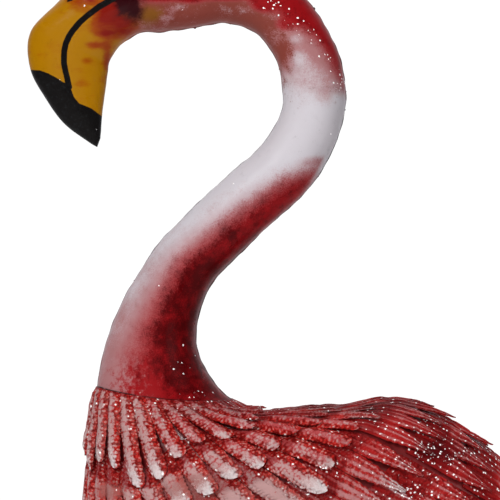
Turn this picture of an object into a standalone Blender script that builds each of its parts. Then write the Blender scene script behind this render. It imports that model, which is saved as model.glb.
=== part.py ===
"""A standing flamingo of painted sheet steel, for a garden.

Units are metres and +Z is up. The bird faces -X, and its left side is at -Y. The origin is the
centre of the base plate's underside. The neck and the body are lofts through sections that are
set by hand, and the feathers are cut strips of sheet that lie over each other like tiles, from
the collar to the tail.
"""

import math
import random

import bmesh
import bpy
import numpy as np
from mathutils import Vector

# Size of the whole bird
BIRD_HEIGHT = 1.094  # from the top of the base plate to the crown
DRAWN_HEIGHT = 1094.0  # the height, in millimetres, at which the sections below are drawn
UNIT = BIRD_HEIGHT / DRAWN_HEIGHT
BIRD_FORWARD = 27.0  # how far the drawn sections move towards the beak, so that the bird balances

# Base plate and feet
PLATE_LENGTH = 0.300
PLATE_MARGIN = 0.0425  # from the toes to the plate's edge, on each side
PLATE_THICKNESS = 0.006
PLATE_EDGE = 0.0015  # the chamfer round the plate
WEB_THICKNESS = 0.003
TOE_LENGTH = 0.078
TOE_SPREAD = math.radians(27)
WEB_SHARE = 0.74  # how far the web reaches along the toes
TOE_RADIUS = 0.0045
TOE_TIP_RADIUS = 0.0025
HIND_TOE_LENGTH = 0.020
FEET_APART = 0.008  # between the toes of the two feet
FOOT_HALF_WIDTH = TOE_LENGTH * math.sin(TOE_SPREAD) + TOE_TIP_RADIUS
LEG_SPACING = 2 * FOOT_HALF_WIDTH + FEET_APART
PLATE_WIDTH = LEG_SPACING + 2 * FOOT_HALF_WIDTH + 2 * PLATE_MARGIN

# Legs and the sockets that hold them
LEG_DIAMETER = 0.012
ANKLE_DIAMETER = 0.024
ANKLE_BACK = 0.014  # how far the ankle stands behind the straight line
ANKLE_SWELL = 0.022  # the length over which the ankle thickens, above and below
LEG_TOP_STRAIGHT = 0.020  # the straight run below the socket
SOCKET_DEPTH = 0.045
SOCKET_WALL = 0.0035
THIGH_TOP_RADIUS = 0.026
THIGH_LENGTH = 0.055

# Sheet feathers
FEATHER_SHEET = 0.0012
FEATHER_CROWN = 0.0022  # how far a feather's middle stands above its edges
ROW_CLEARANCE = 1.0 * UNIT  # between a row's crests and the row over it
COVERED_SHARE = 0.42  # the part of a row that the row before it covers
ROOT_HEIGHT = 0.8 * UNIT  # of a row's root above the shell
SLIT_SHARE = 0.40  # how far the slits between feathers run up from their tips
SHOULDER = 0.27  # where a feather's flat crest begins, as a share of its width
FIT_GAP = 0.0003

# Eyes
EYE_RADIUS = 0.0065
EYE_STANDS_OUT = 0.0022

# Sections from the neck's foot to the bill's tip, in drawn millimetres: x, z, tilt of the
# section's back in degrees, half depth and half width.
NECK_SECTIONS = (
    (-93.0, 698.0, -7.0, 67.0, 50.0),
    (-104.0, 711.0, -5.0, 56.0, 45.0),
    (-110.0, 728.0, -2.0, 47.0, 40.5),
    (-111.5, 747.0, -4.0, 41.0, 37.0),
    (-107.0, 769.0, -14.0, 36.0, 34.5),
    (-97.0, 794.0, -28.0, 32.0, 32.0),
    (-81.5, 821.0, -36.0, 29.5, 30.0),
    (-57.5, 847.0, -43.0, 29.0, 29.0),
    (-29.0, 874.0, -46.0, 29.0, 28.0),
    (3.0, 903.0, -42.0, 28.5, 28.0),
    (22.5, 929.0, -24.0, 28.0, 28.0),
    (33.5, 956.0, -8.0, 27.5, 28.0),
    (34.5, 979.5, 5.0, 28.0, 27.5),
    (29.5, 1005.0, 22.0, 27.0, 27.5),
    (17.5, 1029.5, 42.0, 26.5, 27.0),
    (-5.5, 1054.0, 62.0, 27.5, 27.0),
    (-42.0, 1066.5, 86.0, 28.0, 27.0),
    (-76.5, 1062.0, 98.0, 28.0, 28.0),
    (-105.0, 1061.5, 94.0, 31.0, 30.0),
    (-130.0, 1061.5, 111.0, 33.0, 31.0),
    (-150.5, 1053.0, 126.0, 34.5, 29.0),
    (-168.5, 1037.0, 146.0, 34.0, 25.0),
    (-185.0, 1016.5, 159.0, 38.0, 21.5),
    (-186.0, 995.0, 176.0, 35.0, 19.5),
    (-180.0, 975.0, 189.0, 27.5, 16.5),
    (-173.0, 956.0, 203.0, 19.5, 13.0),
    (-165.5, 941.0, 213.0, 10.5, 8.5),
    (-161.5, 932.0, 214.0, 4.8, 4.5),
)
BILL_TIP = (-160.5, 926.5)
EYE_STATION = 19.2
EYE_ANGLE = math.radians(64)

# The seam between neck and body dips at the sides, in drawn millimetres, and the dip fades out
# over a few sections on either side of it.
SEAM_DIP = 6.0
SEAM_DIP_SECTIONS = 3.0
SHELL_SIDES = 16  # of the neck and of the body, so that they meet

# Sections from the neck's foot to past the tail, in the same terms. The shell ends at
# SHELL_END, and the tail feathers follow the sections beyond it.
BODY_SECTIONS = (
    NECK_SECTIONS[0],
    (-82.5, 680.5, 4.0, 78.0, 63.0),
    (-65.5, 663.0, 15.0, 100.5, 74.0),
    (-45.0, 643.5, 23.0, 124.5, 83.0),
    (-18.0, 620.0, 32.0, 145.0, 88.0),
    (19.5, 594.0, 38.0, 152.0, 89.0),
    (68.0, 570.0, 43.0, 142.0, 85.0),
    (121.5, 554.0, 48.0, 118.0, 76.0),
    (174.0, 544.5, 52.0, 88.0, 60.0),
    (221.5, 541.0, 53.0, 56.0, 42.0),
    (257.5, 538.5, 50.0, 29.0, 27.0),
    (291.0, 526.0, 52.0, 19.0, 32.0),
    (323.0, 510.5, 55.0, 12.0, 38.0),
    (354.0, 493.5, 58.0, 8.0, 42.0),
)
SHELL_END = 10.0
LEG_X = 36.0  # in drawn millimetres

# Where each row of feathers ends: pairs of an angle round the body, from 0 along the back to 180
# along the breast, and the body station there.
COLLAR_TIPS = ((0, 0.85), (38, 1.35), (50, 1.75), (62, 2.3), (80, 2.45), (110, 2.2), (180, 2.05))
SHOULDER_TIPS = ((0, 3.0), (45, 3.25), (62, 3.15), (84, 3.8), (100, 3.5), (125, 2.95), (180, 3.0))
BREAST_TIPS = ((0, 3.95), (30, 4.45), (60, 4.6), (75, 5.1), (100, 4.9), (130, 4.2), (180, 4.1))
BACK_TIPS = (
    ((0, 5.55), (45, 6.2)),
    ((0, 6.8), (45, 7.5)),
    ((0, 8.2), (45, 8.7)),
)
WING_TIPS = (
    ((47, 6.1), (90, 6.4), (130, 5.7)),
    ((47, 7.3), (90, 7.7), (130, 6.8)),
    ((47, 9.6), (90, 9.0), (130, 7.9)),
)
BREAST_END_TIPS = ((133, 5.4), (180, 5.6))
VENT_TIPS = (((130, 8.2), (180, 8.5)), ((130, 9.4), (180, 9.8)))
TAIL_TIPS = ((0, 12.8), (40, 12.4), (80, 11.6))

COLLAR_COUNT = 30
SHOULDER_COUNT = 34
BREAST_COUNT = 36
BACK_COUNTS = (9, 8, 7)
WING_COUNTS = (9, 8, 7)
BREAST_END_COUNT = 9
VENT_COUNTS = (8, 6)
TAIL_COUNT = 9
BACK_HALF_ANGLE = 45.0
WING_ANGLES = (47.0, 130.0)
BREAST_END_ANGLE = 133.0
VENT_ANGLE = 133.0
TAIL_HALF_ANGLE = 80.0
PRIMARY_EXTRA_LIFT = 0.010
VENT_ROOT = 7.1
TAIL_ROOT = 7.9

# Paint, as red, green, blue, roughness and metallic
PAINTS = {
    "neck_paint": (0.62, 0.25, 0.26, 0.25, 0.1),
    "body_paint": (0.45, 0.08, 0.09, 0.35, 0.1),
    "feather_paint": (0.60, 0.16, 0.17, 0.28, 0.1),
    "wing_paint": (0.48, 0.05, 0.07, 0.28, 0.1),
    "leg_paint": (0.55, 0.18, 0.17, 0.35, 0.1),
    "plate_paint": (0.06, 0.05, 0.05, 0.5, 0.2),
}


def clear_scene():
    """Removes what the file opened with."""
    for obj in list(bpy.data.objects):
        bpy.data.objects.remove(obj)


def collection_named(name, hidden=False):
    """A new collection in the scene."""
    made = bpy.data.collections.new(name)
    made.hide_render = hidden
    bpy.context.scene.collection.children.link(made)
    return made


def paint_named(name):
    """The material of one paint, made once."""
    found = bpy.data.materials.get(name)
    if found:
        return found
    red, green, blue, roughness, metallic = PAINTS[name]
    made = bpy.data.materials.new(name)
    made.use_nodes = True
    shader = made.node_tree.nodes["Principled BSDF"]
    shader.inputs["Base Color"].default_value = (red, green, blue, 1.0)
    shader.inputs["Roughness"].default_value = roughness
    shader.inputs["Metallic"].default_value = metallic
    made.diffuse_color = (red, green, blue, 1.0)
    return made


def object_of(name, mesh_builder, collection, paint=None, smooth_below=40):
    """An object whose mesh is what a bmesh builder filled."""
    mesh = bpy.data.meshes.new(name)
    mesh_builder.to_mesh(mesh)
    mesh_builder.free()
    obj = bpy.data.objects.new(name, mesh)
    collection.objects.link(obj)
    if paint:
        mesh.materials.append(paint_named(paint))
        mesh.shade_smooth()
        mesh.set_sharp_from_angle(angle=math.radians(smooth_below))
    return obj


def add_boolean(obj, cutter, operation, solver="EXACT"):
    """Joins or cuts an object by a helper, which is hidden."""
    modifier = obj.modifiers.new(cutter.name, "BOOLEAN")
    modifier.solver = solver
    modifier.operation = operation
    modifier.object = cutter
    cutter.hide_render = True
    cutter.display_type = "WIRE"


def section_at(sections, station):
    """The section at a station, on a smooth curve through the drawn ones."""
    rows = np.array(sections)
    last = len(rows) - 1
    first = min(max(int(station), 0), last - 1)
    before = rows[first - 1] if first else 2 * rows[0] - rows[1]
    after = rows[first + 2] if first + 2 <= last else 2 * rows[last] - rows[last - 1]
    here, following = rows[first], rows[first + 1]
    f = station - first
    return 0.5 * (
        2 * here
        + (following - before) * f
        + (2 * before - 5 * here + 4 * following - after) * f**2
        + (3 * here - before - 3 * following + after) * f**3
    )


def skin_point(sections, station, angle):
    """The point of a loft's skin at a station and at an angle from its back."""
    x, z, tilt, depth, width = section_at(sections, station)
    tilt = math.radians(tilt)
    back = Vector((math.cos(tilt), 0.0, math.sin(tilt)))
    centre = Vector((x - BIRD_FORWARD, 0.0, z))
    point = centre + back * depth * math.cos(angle) + Vector((0, width * math.sin(angle), 0))
    fade = max(0.0, 1.0 - station / SEAM_DIP_SECTIONS) ** 2
    down = Vector((math.sin(tilt), 0.0, -math.cos(tilt)))
    point += down * SEAM_DIP * fade * math.sin(angle) ** 2
    return point * UNIT + Vector((0, 0, PLATE_THICKNESS))


def skin_normal(sections, station, angle):
    """The outward direction of a loft's skin there."""
    step = 0.02
    along = skin_point(sections, station + step, angle) - skin_point(
        sections, station - step, angle
    )
    around = skin_point(sections, station, angle + step) - skin_point(
        sections, station, angle - step
    )
    normal = around.cross(along).normalized()
    x, z = section_at(sections, station)[:2]
    centre = Vector((x - BIRD_FORWARD, 0, z)) * UNIT + Vector((0, 0, PLATE_THICKNESS))
    outward = skin_point(sections, station, angle) - centre
    return normal if normal.dot(outward) > 0 else -normal


def loft(name, sections, stations, sides, collection, paint=None, tip=None):
    """A closed solid through the sections at some stations, with a pointed tip if one is given."""
    builder = bmesh.new()
    rings = [
        [
            builder.verts.new(skin_point(sections, station, 2 * math.pi * k / sides))
            for k in range(sides)
        ]
        for station in stations
    ]
    for lower, upper in zip(rings, rings[1:]):
        for k in range(sides):
            m = (k + 1) % sides
            builder.faces.new((lower[k], lower[m], upper[m], upper[k]))
    for ring, end in ((rings[0], None), (rings[-1], tip)):
        middle = end or (ring[0].co + ring[sides // 2].co) / 2
        point = builder.verts.new(middle)
        for k in range(sides):
            builder.faces.new((ring[k], ring[(k + 1) % sides], point))
    bmesh.ops.recalc_face_normals(builder, faces=builder.faces)
    return object_of(name, builder, collection, paint)


def read_line(pairs, angle):
    """The value at an angle, in degrees, of a line drawn through pairs; both sides are alike."""
    angle = abs((angle + 180) % 360 - 180)
    angles, values = zip(*pairs)
    return float(np.interp(angle, angles, values))


def row_root(previous_root, previous_tips, tips, angle):
    """Where a row starts: under the row before it, which covers only a share of it."""
    end = read_line(previous_tips, angle)
    covered = COVERED_SHARE / (1 - COVERED_SHARE) * (read_line(tips, angle) - end)
    half_of_previous = 0.5 * (end - previous_root(angle))
    return end - min(covered, half_of_previous)


def feather_lift():
    """How far a feather's tip stands off the body, so that each row clears the next."""
    needed = FEATHER_SHEET + FEATHER_CROWN + ROW_CLEARANCE
    return needed / (1 - COVERED_SHARE)


def feather_columns(count, start, end, closed, chance):
    """The columns of points across a strip: angle in degrees, length share and crest share."""
    width = (end - start) / count
    columns = []
    for k in range(count):
        left = start + k * width
        length = 1.0 - 0.14 * chance.random()
        columns.append((left, 1.0 - SLIT_SHARE, 0.0))
        columns.append((left + SHOULDER * width, length, 1.0))
        columns.append((left + (1 - SHOULDER) * width, length, 1.0))
    if not closed:
        columns[0] = (start, 0.82, 0.0)
        columns.append((end, 0.82, 0.0))
    return columns


def feather_strip(name, count, span, root, tips, seed, collection, paint, extra_lift=0.0, bends=1):
    """A strip of sheet cut into feathers, lying on the body between a root and a row of tips.

    Its inner face is built first, and Solidify then adds the sheet's thickness outwards.
    """
    start, end = span
    closed = end - start >= 360
    columns = feather_columns(count, start, end, closed, random.Random(seed))
    shares = [k / (bends + 1) for k in range(bends + 2)]
    builder = bmesh.new()
    grid = []
    for angle, length, crest in columns:
        first, last = root(angle), read_line(tips, angle)
        column = []
        for share in shares:
            along = share * length
            station = first + (last - first) * along
            crown = FEATHER_CROWN * crest * min(1.0, 2 * share)
            height = ROOT_HEIGHT + (feather_lift() + extra_lift * along) * along + crown
            turn = math.radians(angle)
            point = skin_point(BODY_SECTIONS, station, turn)
            point += skin_normal(BODY_SECTIONS, station, turn) * height
            column.append(builder.verts.new(point))
        grid.append(column)
    pairs = list(zip(grid, grid[1:]))
    if closed:
        pairs.append((grid[-1], grid[0]))
    for left, right in pairs:
        for k in range(len(shares) - 1):
            builder.faces.new((left[k], left[k + 1], right[k + 1], right[k]))
    obj = object_of(name, builder, collection, paint)
    sheet = obj.modifiers.new("sheet", "SOLIDIFY")
    sheet.thickness = FEATHER_SHEET
    sheet.offset = 1.0
    return obj


def make_feathers(collection):
    """Every row of feathers, from the collar to the tail."""

    def collar_root(angle):
        return 0.06

    def shoulder_root(angle):
        return row_root(collar_root, COLLAR_TIPS, SHOULDER_TIPS, angle)

    def breast_root(angle):
        return row_root(shoulder_root, SHOULDER_TIPS, BREAST_TIPS, angle)

    whole = (0.0, 360.0)
    paint = "feather_paint"
    feather_strip("collar_feathers", COLLAR_COUNT, whole, collar_root, COLLAR_TIPS, 1, collection, paint)
    feather_strip("shoulder_feathers", SHOULDER_COUNT, whole, shoulder_root, SHOULDER_TIPS, 2, collection, paint)
    feather_strip("breast_feathers", BREAST_COUNT, whole, breast_root, BREAST_TIPS, 3, collection, paint)

    make_tiers("back_feathers", BACK_COUNTS, (-BACK_HALF_ANGLE, BACK_HALF_ANGLE), BACK_TIPS, breast_root, collection, 10)
    for side, sign in (("left", -1), ("right", 1)):
        span = sorted((sign * WING_ANGLES[0], sign * WING_ANGLES[1]))
        make_tiers(f"wing_{side}", WING_COUNTS, span, WING_TIPS, breast_root, collection, 20)
    under = (BREAST_END_ANGLE, 360.0 - BREAST_END_ANGLE)

    def breast_end_root(angle):
        return row_root(breast_root, BREAST_TIPS, BREAST_END_TIPS, angle)

    feather_strip(
        "belly_feathers",
        BREAST_END_COUNT,
        under,
        breast_end_root,
        BREAST_END_TIPS,
        31,
        collection,
        paint,
        bends=2,
    )

    def vent_root(angle):
        return VENT_ROOT

    def second_vent_root(angle):
        return row_root(vent_root, VENT_TIPS[0], VENT_TIPS[1], angle)

    under = (VENT_ANGLE, 360.0 - VENT_ANGLE)
    feather_strip("vent_feathers_1", VENT_COUNTS[0], under, vent_root, VENT_TIPS[0], 32, collection, "wing_paint")
    feather_strip("vent_feathers_2", VENT_COUNTS[1], under, second_vent_root, VENT_TIPS[1], 33, collection, "wing_paint")

    def tail_root(angle):
        return TAIL_ROOT

    feather_strip(
        "tail_feathers",
        TAIL_COUNT,
        (-TAIL_HALF_ANGLE, TAIL_HALF_ANGLE),
        tail_root,
        TAIL_TIPS,
        40,
        collection,
        "wing_paint",
    )


def make_tiers(name, counts, span, tips, first_previous_root, collection, seed):
    """Rows of feathers on one part of the body, each under the one before it."""
    previous_root, previous_tips = first_previous_root, BREAST_TIPS
    for k, count in enumerate(counts):

        def root(angle, held=(previous_root, previous_tips, tips[k])):
            return row_root(*held, angle)

        last_wing_row = name.startswith("wing") and k == len(counts) - 1
        feather_strip(
            f"{name}_{k + 1}",
            count,
            span,
            root,
            tips[k],
            seed + k,
            collection,
            "wing_paint",
            PRIMARY_EXTRA_LIFT if last_wing_row else 0.0,
        )
        previous_root, previous_tips = root, tips[k]


def leg_place():
    """Where the legs stand, along the bird."""
    return (LEG_X - BIRD_FORWARD) * UNIT


def belly_height(x, y):
    """The height of the shell's underside at a place, found by walking round the skin."""
    best = None
    for station in np.linspace(4.0, 9.0, 201):
        for angle in np.linspace(math.radians(110), math.radians(180), 71):
            point = skin_point(BODY_SECTIONS, station, angle)
            miss = (point.x - x) ** 2 + (point.y - y) ** 2
            if best is None or miss < best[0]:
                best = (miss, point.z)
    return best[1]


def make_body(parts, helpers):
    """The body shell, with a cone at each thigh and a socket for each leg."""
    stations = [SHELL_END * k / 14 for k in range(15)]
    body = loft("body_shell", BODY_SECTIONS, stations, SHELL_SIDES, parts, "body_paint")
    skin = belly_height(leg_place(), LEG_SPACING / 2)
    bore = LEG_DIAMETER / 2 + FIT_GAP
    low = skin - THIGH_LENGTH
    for side, sign in (("left", -1), ("right", 1)):
        where = (leg_place(), sign * LEG_SPACING / 2, low + THIGH_LENGTH)
        thigh = cone(f"thigh_{side}", bore + SOCKET_WALL, THIGH_TOP_RADIUS, 2 * THIGH_LENGTH, where, 20, helpers)
        add_boolean(body, thigh, "UNION")
    for side, sign in (("left", -1), ("right", 1)):
        where = (leg_place(), sign * LEG_SPACING / 2, low)
        socket = cone(f"socket_{side}", bore, bore, 2 * SOCKET_DEPTH, where, 16, helpers)
        add_boolean(body, socket, "DIFFERENCE")
    return low


def cone(name, low_radius, high_radius, height, centre, sides, collection):
    """An upright cone or cylinder, closed, by its middle."""
    builder = bmesh.new()
    bmesh.ops.create_cone(
        builder,
        cap_ends=True,
        segments=sides,
        radius1=low_radius,
        radius2=high_radius,
        depth=height,
    )
    obj = object_of(name, builder, collection)
    obj.location = centre
    return obj


def make_neck(parts, helpers):
    """The head and neck, one pressed and welded shell, with a boss for each eye."""
    last = len(NECK_SECTIONS) - 1
    stations = [last * k / 34 for k in range(35)]
    tip = Vector((BILL_TIP[0] - BIRD_FORWARD, 0, BILL_TIP[1])) * UNIT
    tip.z += PLATE_THICKNESS
    neck = loft("head_and_neck", NECK_SECTIONS, stations, SHELL_SIDES, parts, "neck_paint", tip)
    tilt = math.radians(NECK_SECTIONS[0][2])
    neck.location = Vector((-math.sin(tilt), 0, math.cos(tilt))) * FIT_GAP
    for side, sign in (("left", -1), ("right", 1)):
        point = skin_point(NECK_SECTIONS, EYE_STATION, sign * EYE_ANGLE)
        outward = skin_normal(NECK_SECTIONS, EYE_STATION, sign * EYE_ANGLE)
        builder = bmesh.new()
        bmesh.ops.create_uvsphere(builder, u_segments=12, v_segments=8, radius=1.0)
        turn = outward.to_track_quat("Z", "Y").to_matrix().to_4x4()
        bmesh.ops.scale(builder, verts=builder.verts, vec=(EYE_RADIUS, EYE_RADIUS, 2 * EYE_STANDS_OUT))
        bmesh.ops.transform(builder, verts=builder.verts, matrix=turn)
        eye = object_of(f"eye_{side}", builder, helpers)
        eye.location = point - outward * EYE_STANDS_OUT
        add_boolean(neck, eye, "UNION")


def make_legs(parts, socket_mouth):
    """Two rods, each with an ankle, from the foot up into its socket."""
    bottom = PLATE_THICKNESS + FIT_GAP + WEB_THICKNESS + 2 * TOE_RADIUS + FIT_GAP
    top = socket_mouth + SOCKET_DEPTH - FIT_GAP
    straight = socket_mouth - LEG_TOP_STRAIGHT
    ankle = bottom + 0.5 * (straight - bottom)
    swell = ANKLE_SWELL
    for side, sign in (("left", -1), ("right", 1)):
        shape = bpy.data.curves.new(f"leg_{side}", "CURVE")
        shape.dimensions = "3D"
        shape.bevel_depth = LEG_DIAMETER / 2
        shape.bevel_resolution = 3
        shape.use_fill_caps = True
        thick = ANKLE_DIAMETER / LEG_DIAMETER
        heights = (
            (bottom, 0.0, 1.0),
            (ankle - 2 * swell, 0.6, 1.0),
            (ankle - swell, 0.85, 1.25),
            (ankle - 0.45 * swell, 0.97, 0.93 * thick),
            (ankle, 1.0, thick),
            (ankle + 0.45 * swell, 0.97, 0.93 * thick),
            (ankle + swell, 0.85, 1.25),
            (ankle + 2 * swell, 0.6, 1.0),
            (straight, 0.0, 1.0),
            (top, 0.0, 1.0),
        )
        spline = shape.splines.new("POLY")
        spline.points.add(len(heights) - 1)
        for point, (height, back, radius) in zip(spline.points, heights):
            point.co = (leg_place() + back * ANKLE_BACK, sign * LEG_SPACING / 2, height, 1.0)
            point.radius = radius
        leg = bpy.data.objects.new(f"leg_{side}", shape)
        shape.materials.append(paint_named("leg_paint"))
        parts.objects.link(leg)


def make_feet(parts, helpers):
    """Two webbed feet: a cut web with three long toes and a short one behind."""
    under = PLATE_THICKNESS + FIT_GAP
    for side, sign in (("left", -1), ("right", 1)):
        centre = Vector((leg_place(), sign * LEG_SPACING / 2, under))
        angles = (-TOE_SPREAD, 0.0, TOE_SPREAD)
        outline = [(TOE_RADIUS * 2, 0.0)]
        outline.append((0.0, -2 * TOE_RADIUS))
        for k, angle in enumerate(angles):
            reach = TOE_LENGTH - TOE_RADIUS
            outline.append((-reach * math.cos(angle), reach * math.sin(angle)))
            if k < 2:
                between = (angle + angles[k + 1]) / 2
                reach = WEB_SHARE * TOE_LENGTH
                outline.append((-reach * math.cos(between), reach * math.sin(between)))
        outline.append((0.0, 2 * TOE_RADIUS))
        builder = bmesh.new()
        lower = [builder.verts.new((x, y, 0.0)) for x, y in outline]
        face = builder.faces.new(lower)
        raised = bmesh.ops.extrude_face_region(builder, geom=[face])["geom"]
        upper = [v for v in raised if isinstance(v, bmesh.types.BMVert)]
        bmesh.ops.translate(builder, verts=upper, vec=(0, 0, WEB_THICKNESS))
        bmesh.ops.recalc_face_normals(builder, faces=builder.faces)
        foot = object_of(f"foot_{side}", builder, parts, "leg_paint")
        foot.location = centre
        for k, angle in enumerate((*angles, math.pi)):
            length = HIND_TOE_LENGTH if k == 3 else TOE_LENGTH
            toe = toe_rod(f"toe_{side}_{k + 1}", length, angle, centre, helpers)
            add_boolean(foot, toe, "UNION", "MANIFOLD")
        knuckle = cone(
            f"knuckle_{side}",
            1.7 * TOE_RADIUS,
            LEG_DIAMETER / 2,
            WEB_THICKNESS + 2 * TOE_RADIUS - 0.0005,
            centre + Vector((0, 0, (WEB_THICKNESS + 2 * TOE_RADIUS + 0.0005) / 2)),
            14,
            helpers,
        )
        add_boolean(foot, knuckle, "UNION", "MANIFOLD")


def toe_rod(name, length, angle, centre, collection):
    """A tapered toe, lying on the web."""
    builder = bmesh.new()
    bmesh.ops.create_cone(
        builder,
        cap_ends=True,
        segments=6,
        radius1=TOE_RADIUS,
        radius2=TOE_TIP_RADIUS,
        depth=length,
    )
    obj = object_of(name, builder, collection)
    direction = Vector((-math.cos(angle), math.sin(angle), 0))
    obj.rotation_euler = direction.to_track_quat("Z", "X").to_euler()
    start = -0.6 * TOE_RADIUS
    obj.location = centre + direction * (start + length / 2) + Vector((0, 0, TOE_RADIUS + 0.0004))
    return obj


def make_plate(parts):
    """The oval base plate, with chamfered edges."""
    builder = bmesh.new()
    bmesh.ops.create_cone(
        builder,
        cap_ends=True,
        segments=32,
        radius1=0.5,
        radius2=0.5,
        depth=PLATE_THICKNESS,
    )
    bmesh.ops.scale(builder, verts=builder.verts, vec=(PLATE_LENGTH, PLATE_WIDTH, 1.0))
    plate = object_of("base_plate", builder, parts, "plate_paint")
    plate.location.z = PLATE_THICKNESS / 2
    chamfer = plate.modifiers.new("edge", "BEVEL")
    chamfer.width = PLATE_EDGE
    chamfer.segments = 1
    chamfer.limit_method = "ANGLE"
    chamfer.angle_limit = math.radians(40)


def main():
    clear_scene()
    parts = collection_named("flamingo")
    helpers = collection_named("cutters", hidden=True)
    make_plate(parts)
    make_feet(parts, helpers)
    socket_mouth = make_body(parts, helpers)
    make_legs(parts, socket_mouth)
    make_neck(parts, helpers)
    make_feathers(parts)


main()
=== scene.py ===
"""The finished garden flamingo: cut feathers, lacquer and a plain studio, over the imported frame.

Sizes are in metres unless a name or comment says otherwise. The sections of the neck and body are
written in drawn millimetres, and the paint of the neck and bill is laid out on the photographed
side view, in pixels of its 500 by 500 frame.
"""

import sys

import logging
import math
import random
from dataclasses import dataclass
from enum import Enum
from functools import partial, reduce
from typing import Callable

import bmesh
import bpy
import numpy as np
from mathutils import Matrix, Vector


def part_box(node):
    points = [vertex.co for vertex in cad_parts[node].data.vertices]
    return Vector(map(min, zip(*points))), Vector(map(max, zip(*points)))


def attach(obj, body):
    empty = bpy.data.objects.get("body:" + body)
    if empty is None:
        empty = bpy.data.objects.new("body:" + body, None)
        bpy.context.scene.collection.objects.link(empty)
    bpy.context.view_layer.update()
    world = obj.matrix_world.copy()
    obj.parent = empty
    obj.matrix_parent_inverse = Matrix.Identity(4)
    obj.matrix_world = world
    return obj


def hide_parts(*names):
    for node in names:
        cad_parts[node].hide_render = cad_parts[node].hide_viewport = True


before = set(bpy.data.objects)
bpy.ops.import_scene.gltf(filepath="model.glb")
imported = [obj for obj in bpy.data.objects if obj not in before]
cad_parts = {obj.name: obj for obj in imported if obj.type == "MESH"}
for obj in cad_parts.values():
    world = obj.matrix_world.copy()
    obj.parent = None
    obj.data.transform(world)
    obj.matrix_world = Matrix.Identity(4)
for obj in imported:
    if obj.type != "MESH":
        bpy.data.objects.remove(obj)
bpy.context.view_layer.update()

LOG = logging.getLogger("flamingo")

Array = np.ndarray
Socket = bpy.types.NodeSocket
Node = bpy.types.Node
Mesh = bpy.types.Mesh
Piece = bpy.types.Object
Finish = bpy.types.Material
Pairs = tuple[tuple[float, float], ...]
Colour = tuple[float, float, float]

MM = 0.001
BODY = "root"
PLATE_TOP = 0.006
BIRD_FORWARD = 27.0  # drawn millimetres, towards the bill
PIXEL = 0.9  # drawn millimetres for each pixel of the photographed side view
VIEW_LEFT = -248.0  # drawn x at the photograph's left edge
VIEW_TOP = 1059.0  # drawn z at its top edge
LEG_X = (36.0 - BIRD_FORWARD) * MM

# Each section: x, z, tilt in degrees, half depth and half width.
NECK_SECTIONS = (
    (-93.0, 698.0, -7.0, 67.0, 50.0),
    (-104.0, 711.0, -5.0, 56.0, 45.0),
    (-110.0, 728.0, -2.0, 47.0, 40.5),
    (-111.5, 747.0, -4.0, 41.0, 37.0),
    (-107.0, 769.0, -14.0, 36.0, 34.5),
    (-97.0, 794.0, -28.0, 32.0, 32.0),
    (-81.5, 821.0, -36.0, 29.5, 30.0),
    (-57.5, 847.0, -43.0, 29.0, 29.0),
    (-29.0, 874.0, -46.0, 29.0, 28.0),
    (3.0, 903.0, -42.0, 28.5, 28.0),
    (22.5, 929.0, -24.0, 28.0, 28.0),
    (33.5, 956.0, -8.0, 27.5, 28.0),
    (34.5, 979.5, 5.0, 28.0, 27.5),
    (29.5, 1005.0, 22.0, 27.0, 27.5),
    (17.5, 1029.5, 42.0, 26.5, 27.0),
    (-5.5, 1054.0, 62.0, 27.5, 27.0),
    (-42.0, 1066.5, 86.0, 28.0, 27.0),
    (-76.5, 1062.0, 98.0, 28.0, 28.0),
    (-105.0, 1061.5, 94.0, 31.0, 30.0),
    (-130.0, 1061.5, 111.0, 33.0, 31.0),
    (-150.5, 1053.0, 126.0, 34.5, 29.0),
    (-168.5, 1037.0, 146.0, 34.0, 25.0),
    (-185.0, 1016.5, 159.0, 38.0, 21.5),
    (-186.0, 995.0, 176.0, 35.0, 19.5),
    (-180.0, 975.0, 189.0, 27.5, 16.5),
    (-173.0, 956.0, 203.0, 19.5, 13.0),
    (-165.5, 941.0, 213.0, 10.5, 8.5),
    (-161.5, 932.0, 214.0, 4.8, 4.5),
)
BODY_SECTIONS = (
    NECK_SECTIONS[0],
    (-82.5, 680.5, 4.0, 78.0, 63.0),
    (-65.5, 663.0, 15.0, 100.5, 74.0),
    (-45.0, 643.5, 23.0, 124.5, 83.0),
    (-18.0, 620.0, 32.0, 145.0, 88.0),
    (19.5, 594.0, 38.0, 152.0, 89.0),
    (68.0, 570.0, 43.0, 142.0, 85.0),
    (121.5, 554.0, 48.0, 118.0, 76.0),
    (174.0, 544.5, 52.0, 88.0, 60.0),
    (221.5, 541.0, 53.0, 56.0, 42.0),
    (257.5, 538.5, 50.0, 29.0, 27.0),
    (291.0, 526.0, 52.0, 19.0, 32.0),
    (323.0, 510.5, 55.0, 12.0, 38.0),
    (354.0, 493.5, 58.0, 8.0, 42.0),
)
SEAM_DIP = 6.0  # drawn millimetres by which the seam of neck and trunk hangs lower at its sides
SEAM_DIP_SECTIONS = 3.0  # sections over which that fades
SHELL_END = 10.0  # the trunk's station where the body shell ends and feathers alone go on
COLLAR_RIM = 0.57  # the neck's station where the collar's feathers begin


def smooth(value: Array, low: float, high: float) -> Array:
    """A soft step at each value, from 0 at low to 1 at high, which may be the lower of the two."""
    share = np.clip((value - low) / (high - low), 0.0, 1.0)
    return share * share * (3.0 - 2.0 * share)


def read_line(pairs: Pairs, at: Array) -> Array:
    """The values at some places of a line drawn through pairs of a place and a value."""
    places, values = zip(*pairs)
    return np.interp(at, places, values)


def from_back(degrees: Array) -> Array:
    """How far angles are from the back's middle, whichever side they are on."""
    return np.abs((degrees + 180.0) % 360.0 - 180.0)


def read_round(pairs: Pairs, degrees: Array) -> Array:
    """The value of a line over the angle from the back's middle, where both sides are alike."""
    return read_line(pairs, from_back(degrees))


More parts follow.
